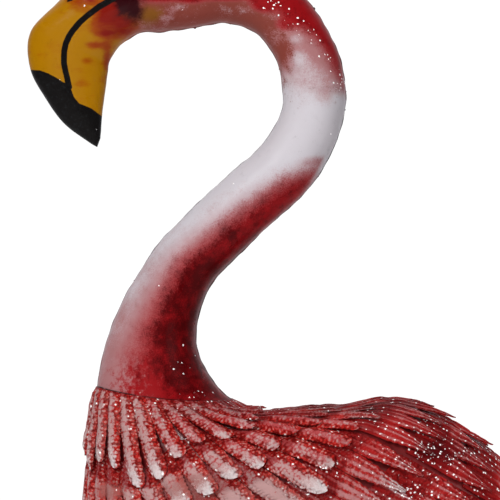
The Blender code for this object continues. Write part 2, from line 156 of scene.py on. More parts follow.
def turns(count: int) -> Array:
    """Angles in radians that divide a whole turn evenly."""
    return np.arange(count) * 2 * math.pi / count


@dataclass(frozen=True)
class Skin:
    """A smooth tube through drawn sections: x, z, tilt, half depth and half width."""

    sections: tuple[tuple[float, ...], ...]

    def read(self, stations: Array) -> Array:
        """The sections at some stations.

        Args:
            stations: Places along the tube, in sections.

        Returns:
            One row of section values for each station.
        """
        table = np.array(self.sections)
        last = len(table) - 1
        padded = np.vstack([2 * table[0] - table[1], table, 2 * table[last] - table[last - 1]])
        first = np.clip(stations.astype(int), 0, last - 1)
        f = (stations - first)[:, None]
        before, here, following, after = (padded[first + k] for k in range(4))
        return 0.5 * (
            2 * here
            + (following - before) * f
            + (2 * before - 5 * here + 4 * following - after) * f**2
            + (3 * here - before - 3 * following + after) * f**3
        )

    def points(self, stations: Array, angles: Array) -> Array:
        """Points of the skin.

        Args:
            stations: Places along the tube, in sections.
            angles: Angles from the tube's back, in radians, one for each station.

        Returns:
            One point for each pair, in metres.
        """
        x, z, tilt, depth, width = self.read(stations).T
        tilt = np.radians(tilt)
        fade = np.maximum(0.0, 1.0 - stations / SEAM_DIP_SECTIONS) ** 2
        dip = SEAM_DIP * fade * np.sin(angles) ** 2
        reach = depth * np.cos(angles)
        made = np.stack(
            [
                x - BIRD_FORWARD + reach * np.cos(tilt) + dip * np.sin(tilt),
                width * np.sin(angles),
                z + reach * np.sin(tilt) - dip * np.cos(tilt),
            ],
            axis=1,
        )
        made *= MM
        made[:, 2] += PLATE_TOP
        return made

    def normals(self, stations: Array, angles: Array) -> Array:
        """The outward directions of the skin.

        Args:
            stations: Places along the tube, in sections.
            angles: Angles from the tube's back, in radians, one for each station.

        Returns:
            One direction for each pair.
        """
        step = 0.02
        along = self.points(stations + step, angles) - self.points(stations - step, angles)
        around = self.points(stations, angles + step) - self.points(stations, angles - step)
        normal = np.cross(along, around)
        normal /= np.linalg.norm(normal, axis=1)[:, None]
        x, z = self.read(stations).T[:2]
        centre = np.stack([(x - BIRD_FORWARD) * MM, 0 * x, z * MM + PLATE_TOP], axis=1)
        outward = self.points(stations, angles) - centre
        return normal * np.sign((normal * outward).sum(axis=1))[:, None]


NECK = Skin(NECK_SECTIONS)
TRUNK = Skin(BODY_SECTIONS)


def laid_skin(stations: Array, angles: Array) -> tuple[Array, Array]:
    """The trunk's skin, which goes on up the neck above its seam.

    Args:
        stations: The trunk's stations, or the neck's as negative numbers.
        angles: Angles from the back, one for each station.

    Returns:
        The points and their outward directions.
    """
    above = (stations < 0.0)[:, None]
    low, high = np.maximum(stations, 0.0), np.maximum(-stations, 0.0)
    points = np.where(above, NECK.points(high, angles), TRUNK.points(low, angles))
    return points, np.where(above, NECK.normals(high, angles), TRUNK.normals(low, angles))


def view_pixels(points: Array) -> Array:
    """The pixel columns and rows at which points in metres show in the photographed side view."""
    right, up = points[:, 0] / MM + BIRD_FORWARD - VIEW_LEFT, (points[:, 2] - PLATE_TOP) / MM
    return np.stack([right, VIEW_TOP - up], axis=1) / PIXEL


def distance_to_line(pixels: Array, line: Pairs, closed: bool = False) -> Array:
    """The distance from pixels to a drawn line.

    Args:
        pixels: Pixel places.
        line: The line's corners, in pixels.
        closed: Whether the last corner joins the first.

    Returns:
        The distance of each pixel place from the line, in pixels.
    """
    corners = np.array(line + line[:1] if closed else line)
    nearest = np.full(len(pixels), np.inf)
    for start, end in zip(corners, corners[1:]):
        run = end - start
        share = np.clip((pixels - start) @ run / (run @ run), 0.0, 1.0)
        miss = pixels - (start + share[:, None] * run)
        nearest = np.minimum(nearest, np.hypot(miss[:, 0], miss[:, 1]))
    return nearest


def distance_inside(pixels: Array, outline: Pairs) -> Array:
    """How deep pixels lie inside a closed outline.

    Args:
        pixels: Pixel places.
        outline: The outline's corners, in pixels.

    Returns:
        The depth of each place, in pixels, below 0 outside.
    """
    corners = np.array(outline)
    inside = np.zeros(len(pixels), bool)
    for start, end in zip(corners, np.roll(corners, -1, axis=0)):
        crosses = (start[1] > pixels[:, 1]) != (end[1] > pixels[:, 1])
        rise = (end[1] - start[1]) or 1e-9
        at = start[0] + (pixels[:, 1] - start[1]) * (end[0] - start[0]) / rise
        inside ^= crosses & (pixels[:, 0] < at)
    depth = distance_to_line(pixels, outline, closed=True)
    return np.where(inside, depth, -depth)


Spots = tuple[tuple[float, float, float, float, float], ...]


def spotted(pixels: Array, spots: Spots) -> Array:
    """The sum of soft spots of paint on the side view.

    Args:
        pixels: Pixel places.
        spots: A place, a reach across, a reach up and a strength for each, in pixels.

    Returns:
        The strength at each pixel place.
    """
    total = np.zeros(len(pixels))
    for x, y, across, up, strength in spots:
        total += strength * np.exp(-(((pixels[:, 0] - x) / across) ** 2) - ((pixels[:, 1] - y) / up) ** 2)
    return total


def wavy(places: Array, size: float, seed: int) -> Array:
    """A smooth random field, from about -1 to 1.

    Args:
        places: Points, one row each.
        size: The length of its waves, in the points' units.
        seed: Fixes the field.

    Returns:
        The field at each point.
    """
    chance = np.random.default_rng(seed)
    total = np.zeros(len(places))
    for _ in range(7):
        wave = chance.normal(size=places.shape[1])
        wave *= 2 * math.pi / (size * np.linalg.norm(wave)) * chance.uniform(0.7, 1.4)
        total += np.sin(places @ wave + chance.uniform(0, 2 * math.pi))
    return total / 3.0


class Wiring:
    """Adds nodes to one tree and links them."""

    def __init__(self, tree: bpy.types.NodeTree) -> None:
        """Keeps the tree to fill."""
        self.tree = tree

    def node(self, kind: str, settings: dict | None = None, **inputs: object) -> Node:
        """Adds one node.

        Args:
            kind: The node's type name.
            settings: Properties of the node itself.
            **inputs: Sockets by name, with underscores for spaces; a value or a socket each.

        Returns:
            The node.
        """
        made = self.tree.nodes.new(kind)
        for name, value in (settings or {}).items():
            setattr(made, name, value)
        for name, value in inputs.items():
            self.put(made.inputs[name.replace("_", " ")], value)
        return made

    def put(self, socket: Socket, value: object) -> None:
        """Links a socket to another, or sets its value.

        Args:
            socket: The input to feed.
            value: A number, a colour, a data block or another socket.
        """
        if isinstance(value, Socket):
            self.tree.links.new(value, socket)
        elif isinstance(value, tuple) and len(value) == 3 and socket.type == "RGBA":
            socket.default_value = (*value, 1.0)
        else:
            socket.default_value = value

    def math(self, operation: str, *values: object) -> Socket:
        """One Math node.

        Args:
            operation: Its operation, such as ADD.
            *values: Its inputs in order.

        Returns:
            Its result.
        """
        made = self.node("ShaderNodeMath", {"operation": operation})
        for socket, value in zip(made.inputs, values):
            self.put(socket, value)
        return made.outputs[0]

    def times(self, *values: object) -> Socket:
        """The product of some numbers and sockets."""
        return reduce(partial(self.math, "MULTIPLY"), values)

    def add(self, *values: object) -> Socket:
        """The sum of some numbers and sockets, and of tuples that are multiplied out first."""
        parts = [self.times(*value) if isinstance(value, tuple) else value for value in values]
        return reduce(partial(self.math, "ADD"), parts)

    def most(self, *values: object) -> Socket:
        """The greatest of some numbers and sockets."""
        return reduce(partial(self.math, "MAXIMUM"), values)

    def step(self, value: object, low: float, high: float) -> Socket:
        """A soft step.

        Args:
            value: What rises.
            low: Where the step is 0.
            high: Where it is 1, which may be below low.

        Returns:
            The step, from 0 to 1.
        """
        made = self.node("ShaderNodeMapRange", {"interpolation_type": "SMOOTHSTEP"})
        for name, given in (("Value", value), ("From Min", low), ("From Max", high)):
            self.put(made.inputs[name], given)
        return made.outputs[0]

    def mix(self, share: object, first: object, second: object) -> Socket:
        """A colour between two.

        Args:
            share: How much of the second, from 0 to 1.
            first: A colour.
            second: Another.

        Returns:
            The colour between them.
        """
        made = self.node("ShaderNodeMix", {"data_type": "RGBA"})
        for index, value in ((0, share), (6, first), (7, second)):
            self.put(made.inputs[index], value)
        return made.outputs[2]

    def noise(self, vector: Socket, scale: object, detail: float = 3.0, roughness: float = 0.55) -> Socket:
        """Noise from 0 to 1 about 0.5, in so many waves to the metre."""
        waves = {"Vector": vector, "Scale": scale, "Detail": detail, "Roughness": roughness}
        return self.node("ShaderNodeTexNoise", **waves).outputs[0]

    def attribute(self, name: str) -> Socket:
        """A number that the mesh carries under a name."""
        return self.node("ShaderNodeAttribute", {"attribute_name": name}).outputs["Fac"]

    def place(self) -> Socket:
        """The object's own coordinates."""
        return self.node("ShaderNodeTexCoord").outputs["Object"]

    def group(self, tree: bpy.types.NodeTree, **inputs: object) -> Node:
        """A node group placed in this tree."""
        return self.node("ShaderNodeGroup", {"node_tree": tree}, **inputs)


@dataclass(frozen=True)
class EffectGroup:
    """A shader effect that several finishes share."""

    name: str
    inputs: dict[str, float]
    fill: Callable[[Wiring, Node], dict[str, Socket]]

    def tree(self) -> bpy.types.NodeTree:
        """The group's tree, made once.

        Returns:
            The tree.
        """
        found = bpy.data.node_groups.get(self.name)
        if found:
            return found
        made = bpy.data.node_groups.new(self.name, "ShaderNodeTree")
        made.interface.new_socket("Place", in_out="INPUT", socket_type="NodeSocketVector")
        for name, value in self.inputs.items():
            socket = made.interface.new_socket(name, in_out="INPUT", socket_type="NodeSocketFloat")
            socket.default_value = value
        wire = Wiring(made)
        filled = self.fill(wire, wire.node("NodeGroupInput"))
        for name in filled:
            made.interface.new_socket(name, in_out="OUTPUT", socket_type="NodeSocketFloat")
        wire.node("NodeGroupOutput", **filled)
        return made


def fill_blotches(wire: Wiring, given: Node) -> dict[str, Socket]:
    """Airbrushed unevenness: broad clouds broken up by finer ones.

    Args:
        wire: The group's tree.
        given: Its inputs.

    Returns:
        Its outputs by name.
    """
    place, scale = given.outputs["Place"], given.outputs["Scale"]
    broad = wire.noise(place, scale, 2.0, 0.5)
    finer = wire.noise(place, wire.times(scale, 5.3), 3.0, 0.6)
    centred = wire.add((broad, 0.65), (finer, 0.35), -0.5)
    return {"Shift": wire.times(centred, given.outputs["Strength"])}


def fill_glitter_and_sparkle(wire: Wiring, given: Node) -> dict[str, Socket]:
    """Flakes of glitter in the lacquer, which also stand in for painted sparkle highlights: a few round
    specks of random sizes.

    Args:
        wire: The group's tree.
        given: Its inputs.

    Returns:
        Its outputs by name.
    """
    place, cell = given.outputs["Place"], given.outputs["Cell"]
    shake = wire.node("ShaderNodeTexNoise", Vector=place, Scale=900.0, Detail=1.0)
    bent = wire.node("ShaderNodeVectorMath", {"operation": "MULTIPLY_ADD"})
    for socket, value in zip(bent.inputs, (shake.outputs["Color"], (0.0016, 0.0016, 0.0016), place)):
        wire.put(socket, value)
    cells = wire.node("ShaderNodeTexVoronoi", Vector=bent.outputs[0], Scale=wire.math("DIVIDE", 1.0, cell))
    parts = wire.node("ShaderNodeSeparateColor", Color=cells.outputs["Color"])
    chosen = wire.math("LESS_THAN", parts.outputs[0], given.outputs["Share"])
    size = wire.times(given.outputs["Size"], wire.add((parts.outputs[1], 0.6), 0.4))
    near = wire.math("LESS_THAN", cells.outputs["Distance"], wire.math("DIVIDE", size, cell))
    return {"Mask": wire.times(chosen, near)}


def fill_pebbles(wire: Wiring, given: Node) -> dict[str, Socket]:
    """Round lumps packed close, as they come out of a press.

    Args:
        wire: The group's tree.
        given: Its inputs.

    Returns:
        The lumps' height, and a number for each lump.
    """
    scale = wire.math("DIVIDE", 1.0, given.outputs["Cell"])
    cells = wire.node("ShaderNodeTexVoronoi", Vector=given.outputs["Place"], Scale=scale)
    fall = wire.math("POWER", wire.times(cells.outputs["Distance"], 1.3), 2.0)
    parts = wire.node("ShaderNodeSeparateColor", Color=cells.outputs["Color"])
    return {"Dome": wire.math("SUBTRACT", 1.0, fall), "Number": parts.outputs[1]}


def fill_skin_of_lacquer(wire: Wiring, given: Node) -> dict[str, Socket]:
    """The lacquer's own surface: orange peel, and patches of more and less gloss.

    Args:
        wire: The group's tree.
        given: Its inputs.

    Returns:
        Its outputs by name.
    """
    place = given.outputs["Place"]
    peel = wire.noise(place, 420.0, 2.0, 0.5)
    dents = wire.noise(place, 95.0, 2.0, 0.45)
    patches = wire.noise(place, 38.0, 3.0, 0.6)
    height = wire.times(wire.add((dents, 2.4), (peel, 0.35)), given.outputs["Relief"])
    rough = wire.add((patches, given.outputs["Spread"]), given.outputs["Base"])
    return {"Height": height, "Roughness": rough}


BLOTCHES = EffectGroup("airbrush_blotches", {"Scale": 40.0, "Strength": 1.0}, fill_blotches)
GLITTER_AND_SPARKLE = EffectGroup("glitter_and_painted_sparkle", {"Cell": 0.006, "Share": 0.3, "Size": 0.0008}, fill_glitter_and_sparkle)
PEBBLES = EffectGroup("pressed_pebbles", {"Cell": 0.003}, fill_pebbles)
LACQUER = EffectGroup(
    "skin_of_lacquer", {"Base": 0.15, "Spread": 0.2, "Relief": 0.0002}, fill_skin_of_lacquer
)


def blotches(wire: Wiring, scale: float, strength: float = 1.0) -> Socket:
    """Clouds about 0, so many to the metre."""
    return wire.group(BLOTCHES.tree(), Place=wire.place(), Scale=scale, Strength=strength).outputs[0]


def flakes(wire: Wiring, cell: float, share: float, size: float) -> Socket:
    """A mask of glitter flakes, which also stand in for painted sparkle highlights: how far apart places for
    one are, how many hold one, and the largest radius.
    """
    return wire.group(GLITTER_AND_SPARKLE.tree(), Place=wire.place(), Cell=cell, Share=share, Size=size).outputs[0]


@dataclass(frozen=True)
class Gloss:
    """How a lacquer shines: constants that sit on the shader itself."""

    roughness: float = 0.2
    spread: float = 0.2
    coat: float = 0.3
    coat_roughness: float = 0.12
    shine: float = 0.3
    relief: float = 0.0002
    # Flakes are white in the colour and glow a little, as painted sparkle highlights.
    flake_colour: Colour = (0.98, 0.96, 0.96)
    flake_glow: Colour = (1.0, 0.98, 0.98)
    flake_glow_strength: float = 0.3


def finish_material(
    wire: Wiring,
    colour: Socket,
    gloss: Gloss,
    specks: Socket | None = None,
    height: object = 0.0,
    coat: Socket | None = None,
) -> None:
    """Adds the shader at the end of a finish.

    Args:
        wire: The tree so far.
        colour: The base colour's socket.
        gloss: How it shines.
        specks: A mask of glitter flakes, or None.
        height: Relief of the finish's own, in metres.
        coat: Where a clear coat lies, or None for the same everywhere.
    """
    skin = wire.group(
        LACQUER.tree(), Place=wire.place(), Base=gloss.roughness, Spread=gloss.spread, Relief=gloss.relief
    )
    rough = skin.outputs["Roughness"]
    if specks is not None:
        colour = wire.mix(specks, colour, gloss.flake_colour)
        rough = wire.times(rough, wire.add(1.0, (specks, -0.6)))
    relief = wire.add(skin.outputs["Height"], height)
    bump = wire.node("ShaderNodeBump", Distance=1.0, Strength=1.0, Height=relief)
    shader = wire.node(
        "ShaderNodeBsdfPrincipled",
        Base_Color=colour,
        Roughness=rough,
        Normal=bump.outputs[0],
        Coat_Weight=gloss.coat if coat is None else coat,
        Coat_Roughness=gloss.coat_roughness,
        Specular_IOR_Level=gloss.shine,
    )
    # Painted sparkle: the flakes also glow a little.
    if specks is not None:
        wire.put(shader.inputs["Emission Color"], wire.mix(specks, (0.0, 0.0, 0.0), gloss.flake_glow))
        wire.put(shader.inputs["Emission Strength"], gloss.flake_glow_strength)
    wire.node("ShaderNodeOutputMaterial", Surface=shader.outputs[0])


def new_material(name: str) -> tuple[Finish, Wiring]:
    """An empty material.

    Args:
        name: Its name.

    Returns:
        The material, and the wiring for it.
    """
    LOG.info("finish %s", name)
    made = bpy.data.materials.new(name)
    made.use_nodes = True
    made.node_tree.nodes.clear()
    return made, Wiring(made.node_tree)


class CloudedPaint:
    """A paint while it is wired, with the uneven fields that break up its edges."""

    def __init__(self, wire: Wiring, broad: float, small: float, grain: float, detail: float) -> None:
        """Wires the fields, each about 0.

        Args:
            wire: The material's tree.
            broad: Broad clouds to the metre.
            small: Smaller clouds to the metre.
            grain: Grains to the metre.
            detail: The grain's finer layers.
        """
        self.wire = wire
        self.broad, self.small = blotches(wire, broad), blotches(wire, small)
        self.grain = wire.add(wire.noise(wire.place(), grain, detail, 0.8), -0.5)

    def broken(self, name: str, broad: float, small: float = 0.0, grain: float = 0.0) -> Socket:
        """A number that the mesh carries, broken up by so much of each field."""
        fields = ((self.broad, broad), (self.small, small), (self.grain, grain))
        return self.wire.add(self.wire.attribute(name), *(pair for pair in fields if pair[1]))

    def over(
        self, under: object, paint: object, value: Socket, low: float, high: float, most: float = 1.0
    ) -> Socket:
        """A paint laid over a colour as a value goes from low to high, with the most that it covers."""
        return self.wire.mix(self.wire.times(self.wire.step(value, low, high), most), under, paint)


@dataclass(frozen=True)
class NeckLacquer:
    """The airbrushed paint of the head and neck, and the enamel of the bill."""

    name: str = "neck_lacquer"
    whitish: Colour = (0.66, 0.62, 0.66)
    pinkish: Colour = (0.44, 0.19, 0.195)
    red: Colour = (0.33, 0.006, 0.009)
    dark_red: Colour = (0.085, 0.001, 0.002)
    veil: Colour = (0.40, 0.07, 0.075)
    rose: Colour = (0.25, 0.052, 0.038)
    maroon: Colour = (0.030, 0.001, 0.003)
    olive: Colour = (0.24, 0.085, 0.010)
    yellow: Colour = (0.42, 0.180, 0.001)
    orange: Colour = (0.33, 0.052, 0.001)
    brick: Colour = (0.23, 0.006, 0.001)
    black: Colour = (0.006, 0.005, 0.005)
    black_sheen: Colour = (0.018, 0.019, 0.021)
    iris: Colour = (0.55, 0.28, 0.01)
    # dark of the worn weld, and painted shade at the neck's foot
    seam: Colour = (0.012, 0.007, 0.008)
    bill_coat: float = 0.15
    flake: float = 0.0010
    gloss: Gloss = Gloss(roughness=0.22, spread=0.16, coat=0.04, shine=0.09)

    def material(self) -> Finish:
        """Wires the paint by the numbers that the neck's mesh carries.

        Returns:
            The finish.
        """
        made, wire = new_material(self.name)
        paint = NeckPaint(self, wire)
        line = paint.black_places()
        coat = wire.times(wire.add(paint.on_bill, (line, -1.0)), self.bill_coat)
        finish_material(wire, paint.colour(line), self.gloss, paint.specks(), coat=coat)
        return made


class NeckPaint(CloudedPaint):
    """The neck's lacquer while it is wired."""

    def __init__(self, lacquer: NeckLacquer, wire: Wiring) -> None:
        """Wires the fields, and where the bill's enamel lies.

        Args:
            lacquer: The colours and sizes.
            wire: The material's tree.
        """
        super().__init__(wire, 42.0, 130.0, 900.0, 2.0)
        self.lacquer = lacquer
        self.on_bill = wire.step(self.broken("bill", 0.0, 16.0), -6.0, 7.0)

    def sprayed(self) -> Socket:
        """The neck's colour: whitish, pinkish and rose under the sprayed red.

        Returns:
            The colour.
        """
        wire, lacquer = self.wire, self.lacquer
        halo = wire.step(wire.attribute("spray"), -1.0, 0.3)
        pale = wire.add(self.broken("pale", 1.1, 0.0, 0.8), (halo, -0.45))
        colour = self.over(lacquer.pinkish, lacquer.whitish, pale, 0.0, 1.0)
        colour = self.over(colour, lacquer.rose, self.broken("rose", 2.0, 1.7, 1.7), 0.1, 1.0)
        clots = wire.add(wire.noise(wire.place(), 170.0, 3.0, 0.7), -0.5)
        spray = wire.add(self.broken("spray", 0.7, 0.35, 0.75), (clots, wire.attribute("foot"), 3.0))
        red = self.over(lacquer.red, lacquer.dark_red, self.broken("deep", 1.5, 2.0, 1.1), 0.0, 1.1)
        colour = self.over(colour, lacquer.veil, spray, -0.02, 0.8, 0.8)
        colour = self.over(colour, red, spray, 0.2, 1.15)
        return self.over(colour, lacquer.olive, self.broken("olive", 0.0, 0.7), 0.15, 1.0)

    def with_bill(self) -> Socket:
        """The bill's brushed enamel beside the neck's colour, with a dusky shade where they meet.

        Returns:
            The colour of both.
        """
        wire, lacquer = self.wire, self.lacquer
        brushed = wire.node("ShaderNodeMapping", Vector=wire.place(), Scale=(0.6, 1.0, 1.7)).outputs[0]
        streaks = wire.noise(brushed, 75.0, 4.0, 0.65)
        flush = wire.add(wire.attribute("flush"), (wire.add(streaks, -0.5), 1.6))
        enamel = self.over(lacquer.yellow, lacquer.orange, flush, 0.0, 0.9)
        enamel = self.over(enamel, lacquer.brick, flush, 0.7, 1.7)
        colour = wire.mix(self.on_bill, self.sprayed(), enamel)
        return self.over(colour, lacquer.maroon, self.broken("maroon", 0.0, 1.6), 0.1, 1.0)

    def black_places(self) -> Socket:
        """The bill's tip, the mouth line, the nostrils and the pupils.

        Returns:
            1 on the black and 0 elsewhere.
        """
        wire = self.wire
        tip = wire.step(self.broken("black", 0.0, 1.0), -0.35, 0.35)
        mouth = wire.step(self.broken("mouth", 0.0, 1.0), 3.1, 2.4)
        nostril = wire.step(wire.attribute("nostril"), -0.4, 0.3)
        return wire.most(tip, mouth, nostril, wire.step(wire.attribute("eye"), 3.6, 3.2))

    def colour(self, black: Socket) -> Socket:
        """The whole colour, with its black places, the worn weld of the seam, and painted shade at the
        neck's foot under the collar.

        Args:
            black: Where the black lies.

        Returns:
            The colour.
        """
        wire, lacquer = self.wire, self.lacquer
        colour = self.over(self.with_bill(), lacquer.iris, wire.attribute("eye"), 6.6, 6.2)
        sheen = wire.noise(wire.place(), 340.0, 2.0, 0.7)
        ink = self.over(lacquer.black, lacquer.black_sheen, sheen, 0.52, 0.75, 0.6)
        colour = wire.mix(black, colour, ink)
        worn = wire.step(wire.noise(wire.place(), 160.0, 3.0, 0.7), 0.3, 0.5)
        # The seam's number also holds painted shade at the neck's foot, under the collar.
        seam = wire.times(wire.step(wire.attribute("seam"), 0.15, 0.6), worn, 0.9)
        return wire.mix(seam, colour, lacquer.seam)

    def specks(self) -> Socket:
        """Glitter, which also stands in for painted sparkle highlights: thick in patches, and a few flakes
        elsewhere.

        Returns:
            1 on the glitter and 0 elsewhere.
        """
        wire, size = self.wire, self.lacquer.flake
        thick = wire.step(self.broken("glitter", 1.0), 0.42, 0.55)
        return wire.most(wire.times(flakes(wire, 0.0040, 0.9, size), thick), flakes(wire, 0.011, 0.16, size))


@dataclass(frozen=True)
class FeatherLacquer:
    """The paint of the cut feathers: red in the grooves, paler on the crests and tips."""

    name: str = "feather_lacquer"
    groove: Colour = (0.53, 0.018, 0.014)
    # deep red, and painted shade where the shade spots lie
    deep_red_and_shade: Colour = (0.085, 0.002, 0.004)
    # painted shade, between the beads and under the row before
    gap: Colour = (0.10, 0.003, 0.004)
    # pale paint: painted highlights on the beads' tops, and mottling in the grooves
    bead_top: Colour = (0.62, 0.26, 0.23)
    # painted highlight along the quills
    quill_highlight: Colour = (0.66, 0.40, 0.42)
    rosy: Colour = (0.47, 0.065, 0.068)
    pale: Colour = (0.54, 0.31, 0.30)
    tip: Colour = (0.80, 0.71, 0.71)
    dusty: Colour = (0.36, 0.135, 0.12)
    bead_pitch: float = 3.2  # millimetres
    dot_pitch: float = 6.4
    bead_height: float = 0.0010
    grain_height: float = 0.00034
    ridge_height: float = 0.0010
    flake: float = 0.0009
    gloss: Gloss = Gloss(roughness=0.18, spread=0.16, coat=0.0, shine=0.06)

    def material(self) -> Finish:
        """Wires the paint by where each point lies on its feather.

        Returns:
            The finish.
        """
        made, wire = new_material(self.name)
        paint = FeatherPaint(self, wire)
        finish_material(wire, paint.colour(), self.gloss, paint.specks(), paint.height())
        return made


class FeatherPaint(CloudedPaint):
    """A feather lacquer while it is wired: its colour, its glitter and its relief."""

    def __init__(self, lacquer: FeatherLacquer, wire: Wiring) -> None:
        """Wires the fields that the colour, the glitter and the relief share.

        Args:
            lacquer: The colours and sizes.
            wire: The material's tree.
        """
        super().__init__(wire, 45.0, 190.0, 520.0, 3.0)
        self.lacquer = lacquer
        self.fine = wire.add(self.small, self.grain)
        # Painted shade where a feather lies under the row before: there it is less pale, and its colour is
        # darkened below.
        self.hidden = wire.math("SUBTRACT", 1.0, wire.step(self.broken("shade", 0.0, 0.0, 0.4), 0.0, 1.0))
        self.paleness = wire.add(
            self.broken("paleness", 0.9), (wire.attribute("tone"), 0.14), (self.hidden, -1.1)
        )
        # Depth: random deeper red, and painted shade from the shade spots.
        self.depth = self.broken("depth", 1.4, 0.0, -0.8)
        self.dusted = wire.step(self.broken("dust", 0.0, 0.9, 0.9), 0.3, 0.9)
        self.thick = self.broken("glitter", 2.0)

        pebbles = wire.group(PEBBLES.tree(), Place=wire.place(), Cell=lacquer.bead_pitch * MM)
        self.dome = pebbles.outputs["Dome"]
        self.chance = wire.add(pebbles.outputs["Number"], -0.5)
        bead = wire.add((self.every(lacquer.bead_pitch), 0.16), self.dome, -0.6, (self.chance, 0.35))
        self.bead = wire.times(bead, wire.attribute("beads"), wire.add(1.0, (self.dusted, -0.75)))
        lateral = wire.times(wire.attribute("lateral"), 2 * math.pi)
        self.ridge = wire.add((wire.math("COSINE", lateral), 0.5), 0.5)
        self.edge = wire.attribute("crest")
        striped = wire.add((self.ridge, 0.90), -0.02, (self.edge, -1.0))
        crest = wire.add((striped, wire.attribute("ridges")), self.edge, (self.bead, 0.36))
        self.crest = wire.add(crest, (self.fine, 0.6), (wire.add(self.paleness, -0.5), 0.4))

    def every(self, pitch: float) -> Socket:
        """A wave along the feather, one to each pitch in millimetres."""
        return self.wire.math("SINE", self.wire.times(self.wire.attribute("run"), 2 * math.pi / pitch))

    def groove(self) -> Socket:
        """The colour between the crests: red, with painted shade at the beads' borders and painted
        highlights on their tops.

        Returns:
            The colour.
        """
        wire, lacquer = self.wire, self.lacquer
        # Deeper red, and painted shade where the shade spots lie.
        colour = self.over(lacquer.groove, lacquer.deep_red_and_shade, self.depth, 0.1, 1.1)
        # Painted shade at the beads' borders.
        colour = self.over(colour, lacquer.gap, self.bead, 0.0, -0.40, 0.62)
        # Painted highlights on the beads' tops.
        tops = wire.times(wire.step(self.bead, 0.12, 0.38), wire.step(self.depth, 0.9, 0.2), 0.75)
        colour = wire.mix(tops, colour, lacquer.bead_top)
        mottled = wire.add(self.fine, (self.paleness, 0.3))
        return self.over(colour, lacquer.bead_top, mottled, 0.06, 0.35, 0.25)

    def crest_colour(self) -> Socket:
        """The colour of the crests, speckled from rosy to pale.

        Returns:
            The colour.
        """
        lacquer = self.lacquer
        middle = self.wire.add(self.crest, -0.6)
        speckled = self.wire.add(self.paleness, (self.fine, 1.7), (self.bead, 0.7), (middle, 0.7))
        colour = self.over(lacquer.rosy, lacquer.pale, speckled, -0.1, 0.9)
        # Deeper red, and painted shade where the shade spots lie.
        return self.over(colour, lacquer.deep_red_and_shade, self.depth, 0.3, 1.2, 0.75)

    def colour(self) -> Socket:
        """The whole colour: grooves and crests, then dust, tips, painted shade under the row before, and
        painted highlights along the quills.

        Returns:
            The colour.
        """
        wire, lacquer = self.wire, self.lacquer
        colour = self.over(self.groove(), self.crest_colour(), self.crest, 0.26, 0.62)
        colour = wire.mix(wire.times(self.dusted, 0.7), colour, lacquer.dusty)
        along = wire.step(self.broken("along", 0.0, 0.35, 0.35), 0.72, 1.02)
        tips = wire.times(along, wire.step(self.paleness, 0.05, 0.6), wire.step(self.crest, 0.1, 0.6))
        tips = wire.times(tips, wire.step(self.depth, 0.75, 0.2), 0.9)
        colour = wire.mix(tips, colour, lacquer.tip)
        # Painted shade under the row before.
        colour = wire.mix(wire.times(self.hidden, 0.65), colour, lacquer.gap)
        # Painted highlights along the quills, broken into short lengths, where the glitter lies thick.
        highlight_breaks = wire.step(wire.noise(wire.place(), 30.0, 1.0), 0.54, 0.58)
        quill = wire.times(wire.step(wire.attribute("quill"), 0.62, 0.85), highlight_breaks)
        shown = wire.times(quill, wire.step(wire.attribute("glitter"), 0.25, 0.5))
        return wire.mix(shown, colour, lacquer.quill_highlight)

    def specks(self) -> Socket:
        """Glitter, which also stands in for painted sparkle highlights: loose flakes, dots in rows along the
        ridges, and painted glints on a few beads' tops.

        Returns:
            1 on the glitter and 0 elsewhere.
        """
        wire, lacquer = self.wire, self.lacquer
        loose = wire.times(flakes(wire, 0.0034, 0.55, lacquer.flake), wire.step(self.thick, 0.62, 0.8))
        dots = wire.step(wire.add(self.every(lacquer.dot_pitch), (self.fine, 1.6)), 0.80, 0.95)
        dots = wire.times(dots, wire.step(self.ridge, 0.80, 0.92))
        dots = wire.times(dots, wire.step(wire.add(self.thick, self.chance), 0.30, 0.45))
        dots = wire.times(dots, wire.step(wire.attribute("ridges"), 0.4, 0.5))
        # Painted glints on the tops of a few beads near the feathers' edges.
        lit = wire.times(wire.step(self.edge, 0.55, 0.42), wire.step(self.edge, 0.1, 0.2))
        lit = wire.times(lit, wire.step(self.dome, 0.80, 0.92))
        lit = wire.times(lit, wire.step(wire.add(self.chance, (self.thick, 0.5)), 0.42, 0.52))
        return wire.most(loose, dots, lit)

    def height(self) -> Socket:
        """The pressed relief that is finer than the mesh: beads, grain and ridges.

        Returns:
            The height, in metres.
        """
        wire, lacquer = self.wire, self.lacquer
        return wire.add(
            (self.bead, wire.step(self.edge, 1.0, 0.5), lacquer.bead_height),
            (self.grain, lacquer.grain_height),
            (self.ridge, wire.attribute("ridges"), lacquer.ridge_height),
        )


@dataclass(frozen=True)
class PlainLacquer:
    """A paint of two close colours in clouds, chipped here and there."""

    name: str
    main: Colour
    second: Colour
    chip: Colour
    scale: float = 40.0
    gloss: Gloss = Gloss()
    chip_scale: float = 210.0

    def material(self) -> Finish:
        """Wires the clouds, the chips and the shader.

        Returns:
            The finish.
        """
        made, wire = new_material(self.name)
        clouds = wire.step(blotches(wire, self.scale, 2.6), -0.5, 0.5)
        colour = wire.mix(clouds, self.main, self.second)
        chips = wire.step(wire.noise(wire.place(), self.chip_scale, 4.0, 0.75), 0.66, 0.72)
        colour = wire.mix(wire.times(chips, 0.6), colour, self.chip)
        finish_material(wire, colour, self.gloss)
        return made


def placed(name: str, data: bpy.types.ID) -> Piece:
    """A new object in the scene.

    Args:
        name: Its name.
        data: Its mesh, light or camera.

    Returns:
        The object.
    """
    made = bpy.data.objects.new(name, data)
    bpy.context.scene.collection.objects.link(made)
    return made


